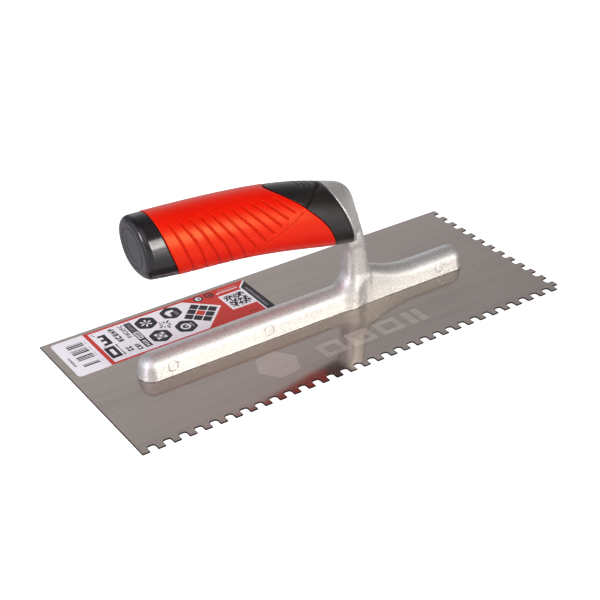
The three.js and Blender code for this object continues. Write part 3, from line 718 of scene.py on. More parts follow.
def head_hull():
    """The fairing from the collar's rim to the front spine: one convex skin, kept as a smoothed 3D grid of distances."""
    import bmesh

    bm = bmesh.new()
    pts = rim_ring(RIM - 0.05, 0.0, 96)
    for i, (x, z) in enumerate(spine):
        a, b = spine[max(i - 1, 0)], spine[min(i + 1, len(spine) - 1)]
        l = math.hypot(b[0] - a[0], b[1] - a[1])
        nx, nz = -(b[1] - a[1]) / l, (b[0] - a[0]) / l
        e = 1.0 - 0.2 * float(smooth((60 - z) / 14.0))
        for k in range(9):
            t = math.pi / 2 * k / 8
            d = 5 * (1 - math.cos(t) ** e)
            y = 6.4 * math.sin(t) ** e
            for sy in (1, -1):
                pts.append((x - nx * d, sy * y, z - nz * d))
    pts += [(25.2, 5, 43.8), (25.2, -5, 43.8), (25.8, 4.5, 37), (25.8, -4.5, 37), (36.6, 4.2, 37), (36.6, -4.2, 37)]
    for p in pts:
        bm.verts.new(p)
    bmesh.ops.convex_hull(bm, input=bm.verts)
    bm.normal_update()
    planes = {}
    for f in bm.faces:
        if f.calc_area() < 1e-4:
            continue
        n = f.normal
        key = (round(n.x, 3), round(n.y, 3), round(n.z, 3))
        planes[key] = (n.x, n.y, n.z, n.dot(f.verts[0].co))
    bm.free()
    planes = np.array(list(planes.values()))
    if planes[:, 3].mean() < 0:
        planes = -planes
    h = 0.6
    xs, ys, zs = np.arange(-6, 42, h), np.arange(0, 19.5, h), np.arange(34, 90, h)
    G = np.stack(np.meshgrid(xs, ys, zs, indexing="ij"), -1).reshape(-1, 3)
    out = np.empty(len(G))
    for k in range(0, len(G), 20000):
        out[k:k + 20000] = (G[k:k + 20000] @ planes[:, :3].T - planes[:, 3]).max(1)
    D = out.reshape(len(xs), len(ys), len(zs))
    for _ in range(2):  # takes the facets off
        P = np.pad(D, 1, mode="edge")
        P[:, 0] = P[:, 2]
        D = (P[:-2, 1:-1, 1:-1] + P[2:, 1:-1, 1:-1] + P[1:-1, :-2, 1:-1] + P[1:-1, 2:, 1:-1] + P[1:-1, 1:-1, :-2] + P[1:-1, 1:-1, 2:] + 6 * D) / 12
    return (xs[0], ys[0], zs[0]), h, D


HEAD_AT, HEAD_H, HEAD_D = head_hull()


def head_form(x, y, z):
    fx = np.clip((x - HEAD_AT[0]) / HEAD_H, 0, HEAD_D.shape[0] - 1.001)
    fy = np.clip((np.abs(y) - HEAD_AT[1]) / HEAD_H, 0, HEAD_D.shape[1] - 1.001)
    fz = np.clip((z - HEAD_AT[2]) / HEAD_H, 0, HEAD_D.shape[2] - 1.001)
    i, j, k = fx.astype(int), fy.astype(int), fz.astype(int)
    u, v, w = fx - i, fy - j, fz - k
    D = HEAD_D
    c0 = (D[i, j, k] * (1 - u) + D[i + 1, j, k] * u) * (1 - v) + (D[i, j + 1, k] * (1 - u) + D[i + 1, j + 1, k] * u) * v
    c1 = (D[i, j, k + 1] * (1 - u) + D[i + 1, j, k + 1] * u) * (1 - v) + (D[i, j + 1, k + 1] * (1 - u) + D[i + 1, j + 1, k + 1] * u) * v
    return c0 * (1 - w) + c1 * w + np.maximum(36.5 - z, 0) * 0.5


def spine_strip():
    """Side view distance to the flat strip along the front spine."""
    pts = []
    for i, (x, z) in enumerate(spine):
        if 44.5 < z < 66:
            a, b = spine[max(i - 1, 0)], spine[min(i + 1, len(spine) - 1)]
            l = math.hypot(b[0] - a[0], b[1] - a[1])
            pts.append((x + (b[1] - a[1]) / l * 4.9, z - (b[0] - a[0]) / l * 4.9))
    xs, zs = np.arange(14, 46, 0.3), np.arange(36, 76, 0.3)
    X, Z = np.meshgrid(xs, zs, indexing="ij")
    best = np.full(X.shape, 1e9)
    p = np.array(pts)
    for a, b in zip(p[:-1], p[1:]):
        e = b - a
        t = np.clip(((X - a[0]) * e[0] + (Z - a[1]) * e[1]) / (e @ e), 0, 1)
        best = np.minimum(best, np.hypot(X - a[0] - t * e[0], Z - a[1] - t * e[1]))
    return xs, zs, best


STRIP = spine_strip()


def casting(x, y, z):
    ax = np.abs(x)
    # rail
    qx, qy = ax - (RAIL_L / 2 - RAIL_END_R), np.abs(y) - (RAIL_W / 2 - RAIL_END_R)
    plan = np.hypot(np.maximum(qx, 0), np.maximum(qy, 0)) + np.minimum(np.maximum(qx, qy), 0) - RAIL_END_R
    h = ridge_at(x)
    sc = (RAIL_H - BLADE_T) / (h - BLADE_T)
    zz = BLADE_T + (z - BLADE_T) * sc
    side = (plan + RAIL_DRAFT * (zz - BLADE_T)) * 0.98
    f = rounded_and(side, (zz - RAIL_H) / np.maximum(sc, 0.5) * 1.0, RAIL_TOP_R)
    mark = np.zeros_like(x)
    for cx in (-92.4, -31, 29.8, 89.9):
        d = np.hypot(x - cx, z - 6.2)
        mark = np.maximum(mark, 0.22 * np.exp(-((d - 2.9) / 0.25) ** 2))
    f = f + mark * (y < 0)
    # shank
    xl, xr, hy = shank_at[0](z), shank_at[1](z), shank_at[2](z)
    xr = xr - 2.3 * smooth((z - 42) / 16.0)
    hy = hy - 1.7 * smooth((z - 44) / 14.0)
    xl = xl + 5.5 * smooth((z - 45.5) / 5.0)
    a, cx = np.maximum((xr - xl) / 2, 0.6), (xl + xr) / 2
    u, v = np.abs(x - cx) / a, np.abs(y) / hy
    p = 3.3
    g = np.maximum(u ** p + v ** p, 1e-9) ** (1 / p)
    k = np.maximum(g, 1e-3) ** (1 - p)
    shank = (g - 1) / np.maximum(np.hypot(k * u ** (p - 1) / a, k * v ** (p - 1) / hy), 1e-6)
    shank = np.maximum(shank, np.maximum(z - 59, 3 - z))
    r = 7.5 + (1.9 - 7.5) * smooth((x - 27) / 10.0)
    f = rounded_or(f, shank, r)
    # head
    st_c = (x - X_FRONT) * math.cos(TILT_FRONT) - (z - quartic(CENTRE_Z, X_FRONT)) * math.sin(TILT_FRONT)
    st_s = (x - X_FRONT) * math.sin(TILT_FRONT) + (z - quartic(CENTRE_Z, X_FRONT)) * math.cos(TILT_FRONT)
    # the fairing falls away in a hollow curve low down, so the spine's own flat side shows
    reach = 1.3 * np.exp((np.clip(z, 44, 70) - 46) / 4.6)
    ring_w = quartic(HALF_W, X_FRONT) * (1 - np.clip(np.abs(st_s) / quartic(HALF_H, X_FRONT), 0, 0.999) ** 2.1) ** 0.47
    hollow = 6.3 + np.maximum(ring_w - 6.3, 0) * np.exp(-np.maximum(st_c - 1.6, 0) / reach) + 0.3 * np.maximum(reach - 6, 0)
    f = rounded_or(f, rounded_and(head_form(x, y, z), (np.abs(y) - hollow) * 0.85, 0.8), 1.4)
    line = 0.16 * np.exp(-((z - 47.7) / 0.22) ** 2)
    f = rounded_or(f, rounded_and(lookup(STRIP, x, z) - 1.9, np.abs(y) - 6.9 + line, 0.4), 0.25)
    slope = dquartic(CENTRE_Z, X_FRONT)
    lean = -(math.sin(TILT_FRONT) + slope * math.cos(TILT_FRONT)) / (math.cos(TILT_FRONT) - slope * math.sin(TILT_FRONT))
    ring = oval(st_s + lean * st_c, y, quartic(HALF_W, X_FRONT), quartic(HALF_H, X_FRONT))
    rim = rounded_and(ring, np.maximum(st_c - 1.65, 0.28 - st_c), 0.3)
    f = rounded_or(f, rim, 0.35)
    # seat behind the rim's plane, cleared for the handle
    near = handle_form(x, y, z, GAP + 0.1)
    seat = np.maximum(near, np.maximum(st_c - 0.28, -40 - x))
    f = np.maximum(f, -seat)
    f = np.minimum(f, tang_bar(x, y, z, 0.0, 0.0, TANG_LEN + 4))
    f = np.maximum(f, -tang_rod(x, y, z, 2.8, -2, 18))
    pocket = np.full_like(x, 1e3)
    for rx in RIVET_X:
        pocket = np.minimum(pocket, np.hypot(x - rx, y) - RIVET_R - GAP)
    f = np.maximum(f, -np.maximum(pocket, z - RIVET_TOP - GAP))
    return np.maximum(f, BLADE_T + 0.02 - z)


def add_skin(name, f, lo, hi, h, mat, node, passes=3, relief=None):
    P, Q, Nn = skin(f, lo, hi, h, passes=passes)
    o = mesh_object(name, P, Q, [mat], Nn)
    if relief is not None:
        o.data.attributes.new("relief", "FLOAT", "POINT").data.foreach_set("value", lookup(relief, P[:, 0], P[:, 2]).astype(np.float32))
    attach(o, "root")
    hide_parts(node)
    print(name, len(P), "vertices", len(Q), "faces")
    return o


add_skin("casting", casting, (-111.5, -18.6, -0.2), (111.5, 18.6, 86), 0.6, M_CAST, "mount_casting")
add_skin("grip", sleeve, (-102.5, -18.6, 42.0), (18.5, 18.6, 101.5), 0.40, M_RED, "grip_sleeve", relief=groove_field)
add_skin("handle_core_moulding", core, (-101.5, -18.6, 42.0), (28.0, 18.6, 101.5), 0.50, M_BLACK, "handle_core", relief=black_seam_field)
add_skin("rear_cap", cap, (-110.5, -18.6, 52.0), (-70.0, 18.6, 102.5), 0.42, M_CAP, "end_cap")


# ------------------------------------------------------------------ blade
def blade_outline():
    p = []
    x0, x1, y0, y1 = -BLADE_L / 2, BLADE_L / 2, -BLADE_W / 2, BLADE_W / 2

    def arc(cx, cy, r, a0, a1, n=5):
        for i in range(n + 1):
            a = a0 + (a1 - a0) * i / n
            p.append((cx + r * math.cos(a), cy + r * math.sin(a)))

    def corner(cx, cy, a0, a1, r):  # small convex round at a tooth tip
        arc(cx, cy, r, a0, a1, 2)

    h = math.pi / 2
    c = 0.22
    corner(x0 + c, y0 + c, -2 * h, -h, c)
    for k in range(FRONT_NOTCHES):
        a, b, t = x0 + k * FRONT_PITCH + FRONT_TOOTH, x0 + (k + 1) * FRONT_PITCH, y0 + FRONT_DEPTH
        corner(a - c, y0 + c, -h, 0, c)
        arc(a + NOTCH_R, t - NOTCH_R, NOTCH_R, 2 * h, h)
        arc(b - NOTCH_R, t - NOTCH_R, NOTCH_R, h, 0)
        corner(b + c, y0 + c, 2 * h, 3 * h, c)
    last = x0 + FRONT_NOTCHES * FRONT_PITCH + FRONT_TOOTH
    corner(last - c, y0 + c, -h, 0, c)
    p.append((last, y0 + CORNER_BITE))
    for k in range(SIDE_TEETH):
        cc = y0 + SIDE_FIRST + k * SIDE_PITCH
        a, b = cc - SIDE_TOOTH / 2, cc + SIDE_TOOTH / 2
        a = max(a, y0 + CORNER_BITE)
        corner(x1 - c, a + c, -h, 0, c)
        if k == SIDE_TEETH - 1:
            break
        corner(x1 - c, b - c, 0, h, c)
        n, t = cc + SIDE_PITCH - SIDE_TOOTH / 2, x1 - SIDE_DEPTH
        arc(t + NOTCH_R, b + NOTCH_R, NOTCH_R, -h, -2 * h)
        arc(t + NOTCH_R, n - NOTCH_R, NOTCH_R, 2 * h, h)
    corner(x1 - c, y1 - c, 0, h, c)
    corner(x0 + c, y1 - c, h, 2 * h, c)
    out = [p[0]]
    for q in p[1:]:
        if math.hypot(q[0] - out[-1][0], q[1] - out[-1][1]) > 0.02:
            out.append(q)
    if math.hypot(out[0][0] - out[-1][0], out[0][1] - out[-1][1]) < 0.02:
        out.pop()
    return np.array(out)


def inset_loop(loop, d):
    """The loop moved inwards by d (counter-clockwise loop, inwards is left)."""
    a, b = np.roll(loop, 1, 0), np.roll(loop, -1, 0)
    e1, e2 = loop - a, b - loop
    e1 /= np.linalg.norm(e1, axis=1)[:, None]
    e2 /= np.linalg.norm(e2, axis=1)[:, None]
    n1, n2 = np.stack([-e1[:, 1], e1[:, 0]], 1), np.stack([-e2[:, 1], e2[:, 0]], 1)
    m = n1 + n2
    m /= np.linalg.norm(m, axis=1)[:, None]
    k = np.maximum((m * n1).sum(1), 0.5)
    return loop + m * (d / k)[:, None]


def circle(cx, cy, r, n=48):
    return np.array([(cx + r * math.cos(2 * math.pi * i / n), cy + r * math.sin(2 * math.pi * i / n)) for i in range(n)])


def point_in(poly, x, y):
    ins = False
    n = len(poly)
    for i in range(n):
        (xa, ya), (xb, yb) = poly[i], poly[(i + 1) % n]
        if (ya > y) != (yb > y) and x < xa + (y - ya) / (yb - ya) * (xb - xa):
            ins = not ins
    return ins


def flat_patch(outer, holes, regions, default):
    """Triangles that fill outer minus holes, each tagged with the last region that holds its centre. Returns (2D points, triangles, tags)."""
    loops = [outer] + list(holes) + [np.array(r[1], float) for r in regions]
    pts, edges = [], []
    for lp in loops:
        s = len(pts)
        pts += [Vector((float(a), float(b))) for a, b in lp]
        edges += [(s + i, s + (i + 1) % len(lp)) for i in range(len(lp))]
    res = delaunay_2d_cdt(pts, edges, [], 0, 1e-5)
    vv, ff = res[0], res[2]
    boxes = [(r[0], np.array(r[1], float)) for r in regions]
    boxes = [(t, p, p.min(0), p.max(0)) for t, p in boxes]
    ob = np.array(outer)
    tris, tags = [], []
    for f in ff:
        cx = sum(vv[i].x for i in f) / len(f)
        cy = sum(vv[i].y for i in f) / len(f)
        if not point_in(ob, cx, cy):
            continue
        if any(math.hypot(cx - h[:, 0].mean(), cy - h[:, 1].mean()) < np.hypot(*(h[0] - h.mean(0))) * 0.999 for h in holes):
            continue
        tag = default
        for t, p, lo, hi in boxes:
            if lo[0] <= cx <= hi[0] and lo[1] <= cy <= hi[1] and point_in(p, cx, cy):
                tag = t
        tris.append(list(f))
        tags.append(tag)
    return np.array([(v.x, v.y) for v in vv]), tris, tags


def rounded_box(x0, y0, x1, y1, r, n=4):
    out = []
    for cx, cy, a0 in ((x1 - r, y0 + r, -90), (x1 - r, y1 - r, 0), (x0 + r, y1 - r, 90), (x0 + r, y0 + r, 180)):
        for i in range(n + 1):
            a = math.radians(a0 + 90 * i / n)
            out.append((cx + r * math.cos(a), cy + r * math.sin(a)))
    return out


def hexagon(cx, cy, r, turn=0.0, soft=0.28):
    """A hexagon with its corners cut round."""
    c = [(cx + r * math.cos(turn + math.pi / 3 * i), cy + r * math.sin(turn + math.pi / 3 * i)) for i in range(6)]
    out = []
    for i in range(6):
        a, b, d = np.array(c[i - 1]), np.array(c[i]), np.array(c[(i + 1) % 6])
        p, q = b + (a - b) * soft, b + (d - b) * soft
        for t in (0, 0.33, 0.67, 1):
            out.append(tuple((1 - t) ** 2 * p + 2 * t * (1 - t) * b + t * t * q))
    return out


def build_blade():
    loop = blade_outline()
    if (np.roll(loop, -1, 0)[:, 0] * loop[:, 1] - loop[:, 0] * np.roll(loop, -1, 0)[:, 1]).sum() > 0:
        loop = loop[::-1].copy()
    verts, faces, mats = [], [], []
    # rolled-over upper edge, sheared wall, lower burr edge
    rings = [(0.30, BLADE_T), (0.12, BLADE_T - 0.012), (0.02, BLADE_T - 0.06), (0.0, BLADE_T - 0.12), (0.0, 0.06), (0.06, 0.0)]
    base = []
    for d, z in rings:
        lp = inset_loop(loop, d)
        base.append(len(verts))
        verts += [(a, b, z) for a, b in lp]
    n = len(loop)
    for k in range(len(rings) - 1):
        for i in range(n):
            j = (i + 1) % n
            faces.append((base[k] + i, base[k + 1] + i, base[k + 1] + j, base[k] + j))
            mats.append(1)
    top_loop, bot_loop = inset_loop(loop, rings[0][0]), inset_loop(loop, rings[-1][0])
    holes_top = [circle(x, 0, RIVET_R + GAP) for x in RIVET_X]
    holes_bot = [circle(x, 0, RIVET_HEAD_R + GAP) for x in RIVET_X]
    # plain etched pattern on the front of the blade: a hexagon and a row of hollow tiles
    etch = [(2, hexagon(-41.5, -31.5, 13.2, 0.12, 0.12))]
    for cx in (-8.0, 11.5, 31.0):
        etch.append((2, rounded_box(cx - 7.6, -41.8, cx + 7.6, -28.6, 0.8, 3)))
        etch.append((0, rounded_box(cx - 4.0, -38.6, cx + 4.0, -31.8, 0.5, 3)))
    etch.append((2, rounded_box(43.4, -41.8, 47.8, -28.6, 0.6, 3)))
    etch.append((2, rounded_box(50.6, -41.8, 55.0, -28.6, 0.6, 3)))
    for lp, holes, z, regs, up in ((top_loop, holes_top, BLADE_T, etch, True), (bot_loop, holes_bot, 0.0, [], False)):
        p2, tris, tags = flat_patch(lp, holes, regs, 0)
        s = len(verts)
        verts += [(a, b, z) for a, b in p2]
        for t, g in zip(tris, tags):
            faces.append([s + i for i in (t if up else t[::-1])])
            mats.append(g)
    for x in RIVET_X:  # countersinks
        prof = [(RIVET_HEAD_R + GAP, 0.0), (RIVET_HEAD_R + GAP, 0.12), (RIVET_R + GAP, 0.62), (RIVET_R + GAP, BLADE_T)]
        s = len(verts)
        for r, z in prof:
            verts += [(a, b, z) for a, b in circle(x, 0, r)]
        for k in range(3):
            for i in range(48):
                j = (i + 1) % 48
                faces.append((s + k * 48 + i, s + (k + 1) * 48 + i, s + (k + 1) * 48 + j, s + k * 48 + j))
                mats.append(1)
    import bmesh

    o = mesh_object("blade_plate", verts, faces, [M_BLADE, M_EDGE, M_ETCH], None, False, mats)
    bm = bmesh.new()
    bm.from_mesh(o.data)
    bmesh.ops.remove_doubles(bm, verts=bm.verts, dist=2e-6)
    bmesh.ops.recalc_face_normals(bm, faces=bm.faces)
    bm.to_mesh(o.data)
    bm.free()
    # smooth the rolled edge only
    flat = [abs(p.normal.z) > 0.9999 for p in o.data.polygons]
    o.data.polygons.foreach_set("use_smooth", [not f for f in flat])
    o.data.update()
    return o


blade = build_blade()
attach(blade, "root")
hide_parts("blade")


# ------------------------------------------------------------------ label film with a plain generic print
def build_label():
    x0, x1, y0, y1, zt, zb = -135.2, -9.0, 20.0, 57.0, BLADE_T + 0.15, BLADE_T + 0.01
    W, R, D, G, P = 0, 1, 2, 3, 4
    reg = []
    add = lambda tag, poly: reg.append((tag, poly))
    rect = lambda tag, a, b, c, d: add(tag, [(a, b), (c, b), (c, d), (a, d)])
    rng = np.random.default_rng(7)
    def marks(tag, xa, xb, ya, yb, w=1.75, gap=0.5, t=0.74):
        """Plain stroke shapes that stand in for a row of print."""
        y_, mid = ya, (xa + xb) / 2
        while y_ + 0.6 < yb:
            e = min(y_ + w * float(rng.uniform(0.8, 1.15)), yb)
            kind = int(rng.integers(0, 4))
            rect(tag, xa, y_, xb, y_ + min(t, e - y_))
            if kind == 0:
                rect(tag, xb - t, y_, xb, e)
                rect(tag, xa, y_, xa + t, e)
            elif kind == 1:
                rect(tag, mid - t / 2, y_, mid + t / 2, e)
                rect(tag, xa, max(e - t, y_), xb, e)
            elif kind == 2:
                rect(tag, xa, max(e - t, y_), xb, e)
                rect(tag, xb - t, y_, xb, e)
            else:
                rect(tag, xa, y_, xa + t, e)
                rect(tag, mid - t / 2, y_, mid + t / 2, e)
            y_ = e + gap

    # bar field in four groups, with small ticks at its end
    for ya, yb in ((47.0, 50.9), (40.2, 44.9), (33.5, 38.2), (26.9, 29.7)):
        y = ya
        while y < yb:
            w = float(rng.choice([0.6, 0.9, 1.25]))
            rect(D, -128.6, y, -118.8, min(y + w, yb + 0.2))
            y += w + float(rng.choice([0.45, 0.55, 0.65]))
        marks(G, -117.9, -116.9, ya + 0.6, yb - 0.4, 0.9, 0.5, 0.25)
    marks(D, -132.9, -131.4, 30.0, 40.0, 1.1, 0.4, 0.4)
    # red frame
    rect(R, -115.2, y0, -112.7, y1)
    rect(R, -115.2, y0, x1, y0 + 1.7)
    rect(R, -115.2, y1 - 1.7, x1, y1)
    # notch pictograms: a tooth profile and a closed channel, with a dimension arrow
    add(D, [(-109.6, 39.0), (-104.6, 39.6), (-104.6, 50.6), (-109.4, 50.6), (-109.4, 48.6), (-107.0, 48.6), (-107.0, 46.2), (-109.4, 46.2), (-109.4, 44.0), (-107.0, 44.0), (-107.0, 41.6), (-109.6, 41.6)])
    rect(D, -112.0, 25.4, -105.6, 37.2)
    rect(W, -109.8, 28.0, -107.6, 34.6)
    rect(D, -104.35, 26.4, -103.9, 36.6)
    add(D, [(-104.1, 25.0), (-103.3, 27.0), (-104.9, 27.0)])
    add(D, [(-104.1, 38.0), (-104.9, 36.0), (-103.3, 36.0)])
    for u, v in ((-110.9, 51.6), (-110.9, 38.2), (-111.6, 53.0)):
        rect(D, u, v, u + 0.9, v + 0.9)
    marks(D, -101.4, -97.9, 38.2, 53.6, 2.6, 0.75, 1.0)
    marks(D, -95.3, -92.5, 39.0, 53.6, 1.9, 0.6, 0.62)
    marks(D, -101.4, -98.0, 26.7, 31.5, 2.2, 0.6, 1.0)
    marks(D, -96.0, -93.0, 25.0, 31.4, 1.8, 0.6, 0.8)
    # dark bar with a light window
    rect(D, -91.4, 24.9, -87.1, 53.6)
    rect(W, -90.7, 34.4, -87.8, 42.4)
    marks(D, -90.2, -88.3, 35.1, 41.8, 1.3, 0.45, 0.5)
    marks(W, -90.3, -88.2, 26.0, 33.4, 1.3, 0.45, 0.5)
    marks(G, -90.3, -88.2, 43.6, 52.8, 1.0, 0.35, 0.35)
    # four badges with plain tool and tile symbols, and a star of rays between them
    badges = [(-79.7, 47.4), (-62.7, 48.8), (-79.2, 30.8), (-62.4, 31.2)]
    for i, (cx, cy) in enumerate(badges):
        add(D, hexagon(cx, cy, 6.95, math.radians(90), 0.2))
        if i == 0:
            for k in range(6):
                a = math.pi / 3 * k + 0.3
                q = np.array([math.cos(a), math.sin(a)])
                t = np.array([-q[1], q[0]])
                add(W, [tuple(np.array([cx, cy]) + q * 0.9 + t * 0.32), tuple(np.array([cx, cy]) + q * 0.9 - t * 0.32), tuple(np.array([cx, cy]) + q * 3.6 - t * 0.6), tuple(np.array([cx, cy]) + q * 3.6 + t * 0.6)])
        elif i == 1:
            add(W, [(cx - 3.6, cy + 1.2), (cx - 2.6, cy - 2.8), (cx - 1.0, cy - 3.4), (cx - 0.6, cy + 0.4), (cx + 2.6, cy + 0.9), (cx + 2.2, cy + 2.6), (cx - 1.6, cy + 2.9)])
            for k in range(3):
                rect(G, cx + 1.6, cy - 3.6 + 1.4 * k, cx + 3.6, cy - 2.9 + 1.4 * k)
        elif i == 2:
            for a in range(3):
                for b in range(3):
                    rect(W if (a + b) % 2 == 0 else G, cx - 3.0 + 2.1 * a, cy - 3.0 + 2.1 * b, cx - 1.2 + 2.1 * a, cy - 1.2 + 2.1 * b)
        else:
            add(W, [tuple(p) for p in circle(cx - 0.4, cy, 3.1, 20)])
            add(D, [tuple(p) for p in circle(cx - 0.4, cy, 2.0, 20)])
            rect(W, cx - 0.8, cy - 0.45, cx + 2.2, cy + 0.45)
            rect(G, cx + 3.2, cy - 2.4, cx + 4.2, cy + 2.4)
    for k in range(9):
        a = 2 * math.pi * k / 9
        q, t = np.array([math.cos(a), math.sin(a)]), np.array([-math.sin(a), math.cos(a)])
        c = np.array([-71.4, 39.6])
        r1 = 4.6 if k % 2 else 3.4
        add(D if k % 3 else G, [tuple(c + q * 1.5 + t * 0.3), tuple(c + q * 1.5 - t * 0.3), tuple(c + q * r1 - t * 0.62), tuple(c + q * r1 + t * 0.62)])
    # red panel with an arrow-shaped white field to its left
    add(R, [(-54.6, y0), (-51.2, 22.9), (-34.6, 39.1), (-51.8, 55.4), (-54.6, y1), (x1, y1), (x1, y0)])
    # plain tile emblem in the field: a lozenge of nine squares, the middle one red
    ca = sa = math.sqrt(0.5)
    for a in (-1, 0, 1):
        for b in (-1, 0, 1):
            q = rounded_box(a * 5.5 - 2.45, b * 5.5 - 2.45, a * 5.5 + 2.45, b * 5.5 + 2.45, 0.5, 2)
            add(R if a == b == 0 else D, [(-48.4 + u * ca - v * sa, 39.0 + u * sa + v * ca) for u, v in q])
    # two round symbols
    for i, (cx, cy) in enumerate(((-42.0, 53.0), (-34.8, 53.1))):
        add(D, [tuple(p) for p in circle(cx, cy, 3.0, 22)])
        add(W if i == 0 else R, [tuple(p) for p in circle(cx, cy, 1.9, 20)])
        add(D, [tuple(p) for p in circle(cx + 0.3, cy - 0.2, 0.9, 12)])
        if i:
            rect(D, cx - 1.6, cy - 0.25, cx + 1.6, cy + 0.25)
    # white square with a plain grid of small tiles
    rect(W, -31.4, 30.8, -15.3, 48.2)
    n, px, py = 15, 13.2 / 15, 13.9 / 15
    for a in range(n):
        for b in range(n):
            if (a * a + 2 * b + a * b // 3) % 3 != 1 and (a + 3 * b) % 7 != 0:
                rect(D, -29.5 + px * a, 32.5 + py * b, -29.5 + px * (a + 1.02), 32.5 + py * (b + 1.02))
    # rows of marks on the red and the dark end strip
    marks(W, -30.6, -29.4, 50.6, 52.0, 1.2, 0.4, 0.4)
    for k in range(14):
        rect(W, -29.9 + 1.0 * k, 51.2, -29.2 + 1.0 * k, 52.3)
    for k in range(12):
        rect(P, -28.0 + 1.0 * k, 53.4, -27.4 + 1.0 * k, 54.4)
    for k in range(5):
        rect(D, -24.6 + 1.1 * k, 23.0, -24.0 + 1.1 * k, 23.8)
    add(W, [(-9.6, 56.2), (-15.3, 50.6), (-15.3, y0), (-14.4, y0), (-14.4, 50.1), (x1, 55.3), (x1, 56.2)])
    add(D, [(-14.4, y0), (-14.4, 50.1), (x1, 55.3), (x1, y0)])
    marks(G, -12.9, -11.3, 24.0, 48.5, 1.0, 0.35, 0.4)
    outer = np.array(rounded_box(x0, y0, x1, y1, 2.0, 6))
    eps = 1e-3
    inner = lambda p: (min(max(p[0], x0 + eps), x1 - eps), min(max(p[1], y0 + eps), y1 - eps))
    reg = [(t, [inner(q) for q in p]) for t, p in reg]
    p2, tris, tags = flat_patch(outer, [], reg, W)
    verts = [(a, b, zt) for a, b in p2] + [(a, b, zb) for a, b in p2]
    n = len(p2)
    faces = [t for t in tris] + [[n + i for i in t[::-1]] for t in tris]
    mats = list(tags) + [W] * len(tris)
    count = {}
    for t in tris:
        for i in range(len(t)):
            e = (t[i], t[(i + 1) % len(t)])
            count[e] = count.get(e, 0) + 1
    for (a, b) in list(count):
        if (b, a) not in count:
            faces.append([b, a, n + a, n + b])
            mats.append(W)
    keys = ["white", "red", "dark", "grey", "pale"]
    return mesh_object("product_label", verts, faces, [INK[k] for k in keys], None, False, mats)


label = build_label()
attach(label, "root")
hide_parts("label")


# ------------------------------------------------------------------ rivets: ground flush, with the file marks of their faces and a fine edge line
def build_rivet(i, x):
    prof = [(0.0, 0.0), (1.2, 0.0), (2.6, 0.004), (3.9, 0.012), (4.22, 0.03), (4.3, 0.09), (2.05, 0.56), (2.0, 0.62), (2.0, 6.6), (1.86, 6.86), (1.6, 7.0), (0.0, 7.0)]
    n = 56
    verts, faces = [(x, 0, 0.0)], []
    rings = [p for p in prof if p[0] > 0]
    for r, z in rings:
        verts += [(x + r * math.cos(2 * math.pi * k / n), r * math.sin(2 * math.pi * k / n), z) for k in range(n)]
    top = len(verts)
    verts.append((x, 0, 7.0))
    for k in range(n):
        j = (k + 1) % n
        faces.append((0, 1 + j, 1 + k))
        faces.append((top, 1 + (len(rings) - 1) * n + k, 1 + (len(rings) - 1) * n + j))
    for a in range(len(rings) - 1):
        for k in range(n):
            j = (k + 1) % n
            faces.append((1 + a * n + k, 1 + a * n + j, 1 + (a + 1) * n + j, 1 + (a + 1) * n + k))
    o = mesh_object("flush_rivet_%d" % i, verts, faces, [M_RIVET], None, True)
    o.data.set_sharp_from_angle(angle=math.radians(28))
    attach(o, "root")
    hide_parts("rivet_%d" % i)


for i, x in enumerate(RIVET_X):
    build_rivet(i + 1, x)

for node in ("tang_screw", "tang_washer"):
    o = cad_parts[node]
    o.data.materials.clear()
    o.data.materials.append(M_SCREW)

# ------------------------------------------------------------------ stage, light, camera
floor_mesh = bpy.data.meshes.new("floor")
floor_mesh.from_pydata([(-6, -6, -0.0004), (6, -6, -0.0004), (6, 6, -0.0004), (-6, 6, -0.0004)], [], [(0, 1, 2, 3)])
floor = bpy.data.objects.new("floor", floor_mesh)
bpy.context.scene.collection.objects.link(floor)
fm, fnt, fb = tree("pale_floor")
fb.inputs["Base Color"].default_value = (0.66, 0.66, 0.66, 1)
fb.inputs["Roughness"].default_value = 0.38
fb.inputs["Specular IOR Level"].default_value = 0.55
fb.inputs["Emission Color"].default_value = (1, 1, 1, 1)
flp = fnt.nodes.new("ShaderNodeLightPath")
fmr = fnt.nodes.new("ShaderNodeMapRange")
fmr.inputs["To Min"].default_value, fmr.inputs["To Max"].default_value = 0.07, 1.0
fnt.links.new(flp.outputs["Is Camera Ray"], fmr.inputs["Value"])
fnt.links.new(fmr.outputs["Result"], fb.inputs["Emission Strength"])
floor_mesh.materials.append(fm)


def direction(az, el):
    a, e = math.radians(az), math.radians(el)
    return Vector((math.cos(e) * math.cos(a), math.cos(e) * math.sin(a), math.sin(e)))


def softbox(name, az, el, dist, w, h, radiance, colour):
    li = bpy.data.lights.new(name, "AREA")
    li.shape = "RECTANGLE"
    li.size, li.size_y = w, h
    li.energy = radiance * math.pi * w * h
    li.color = colour
    o = bpy.data.objects.new(name, li)
    d = direction(az, el)
    o.location = Vector((0, 0, 0.05)) + d * dist
    o.rotation_euler = (-d).to_track_quat("-Z", "Y").to_euler()
    bpy.context.scene.collection.objects.link(o)
    return o


# softboxes: azimuth, elevation, distance, width, height, radiance by channel
BOXES = [
    (-69, 15, 3.2, 0.61, 1.50, (15.3, 15.0, 14.4)), (-168, 17, 1.6, 0.35, 0.60, (11.0, 10.9, 13.2)),
]
for i, (az, el, dist, wide, high, rgb) in enumerate(BOXES):
    top = max(rgb)
    softbox("box_%d" % i, az, el, dist, wide, high, top, tuple(c / top for c in rgb))

# large overhead fill, kept out of the reflections
fill = softbox("overhead", 0, 88, 1.6, 1.0, 1.0, 1.55, (1.0, 1.0, 1.0))
fill.visible_glossy = False

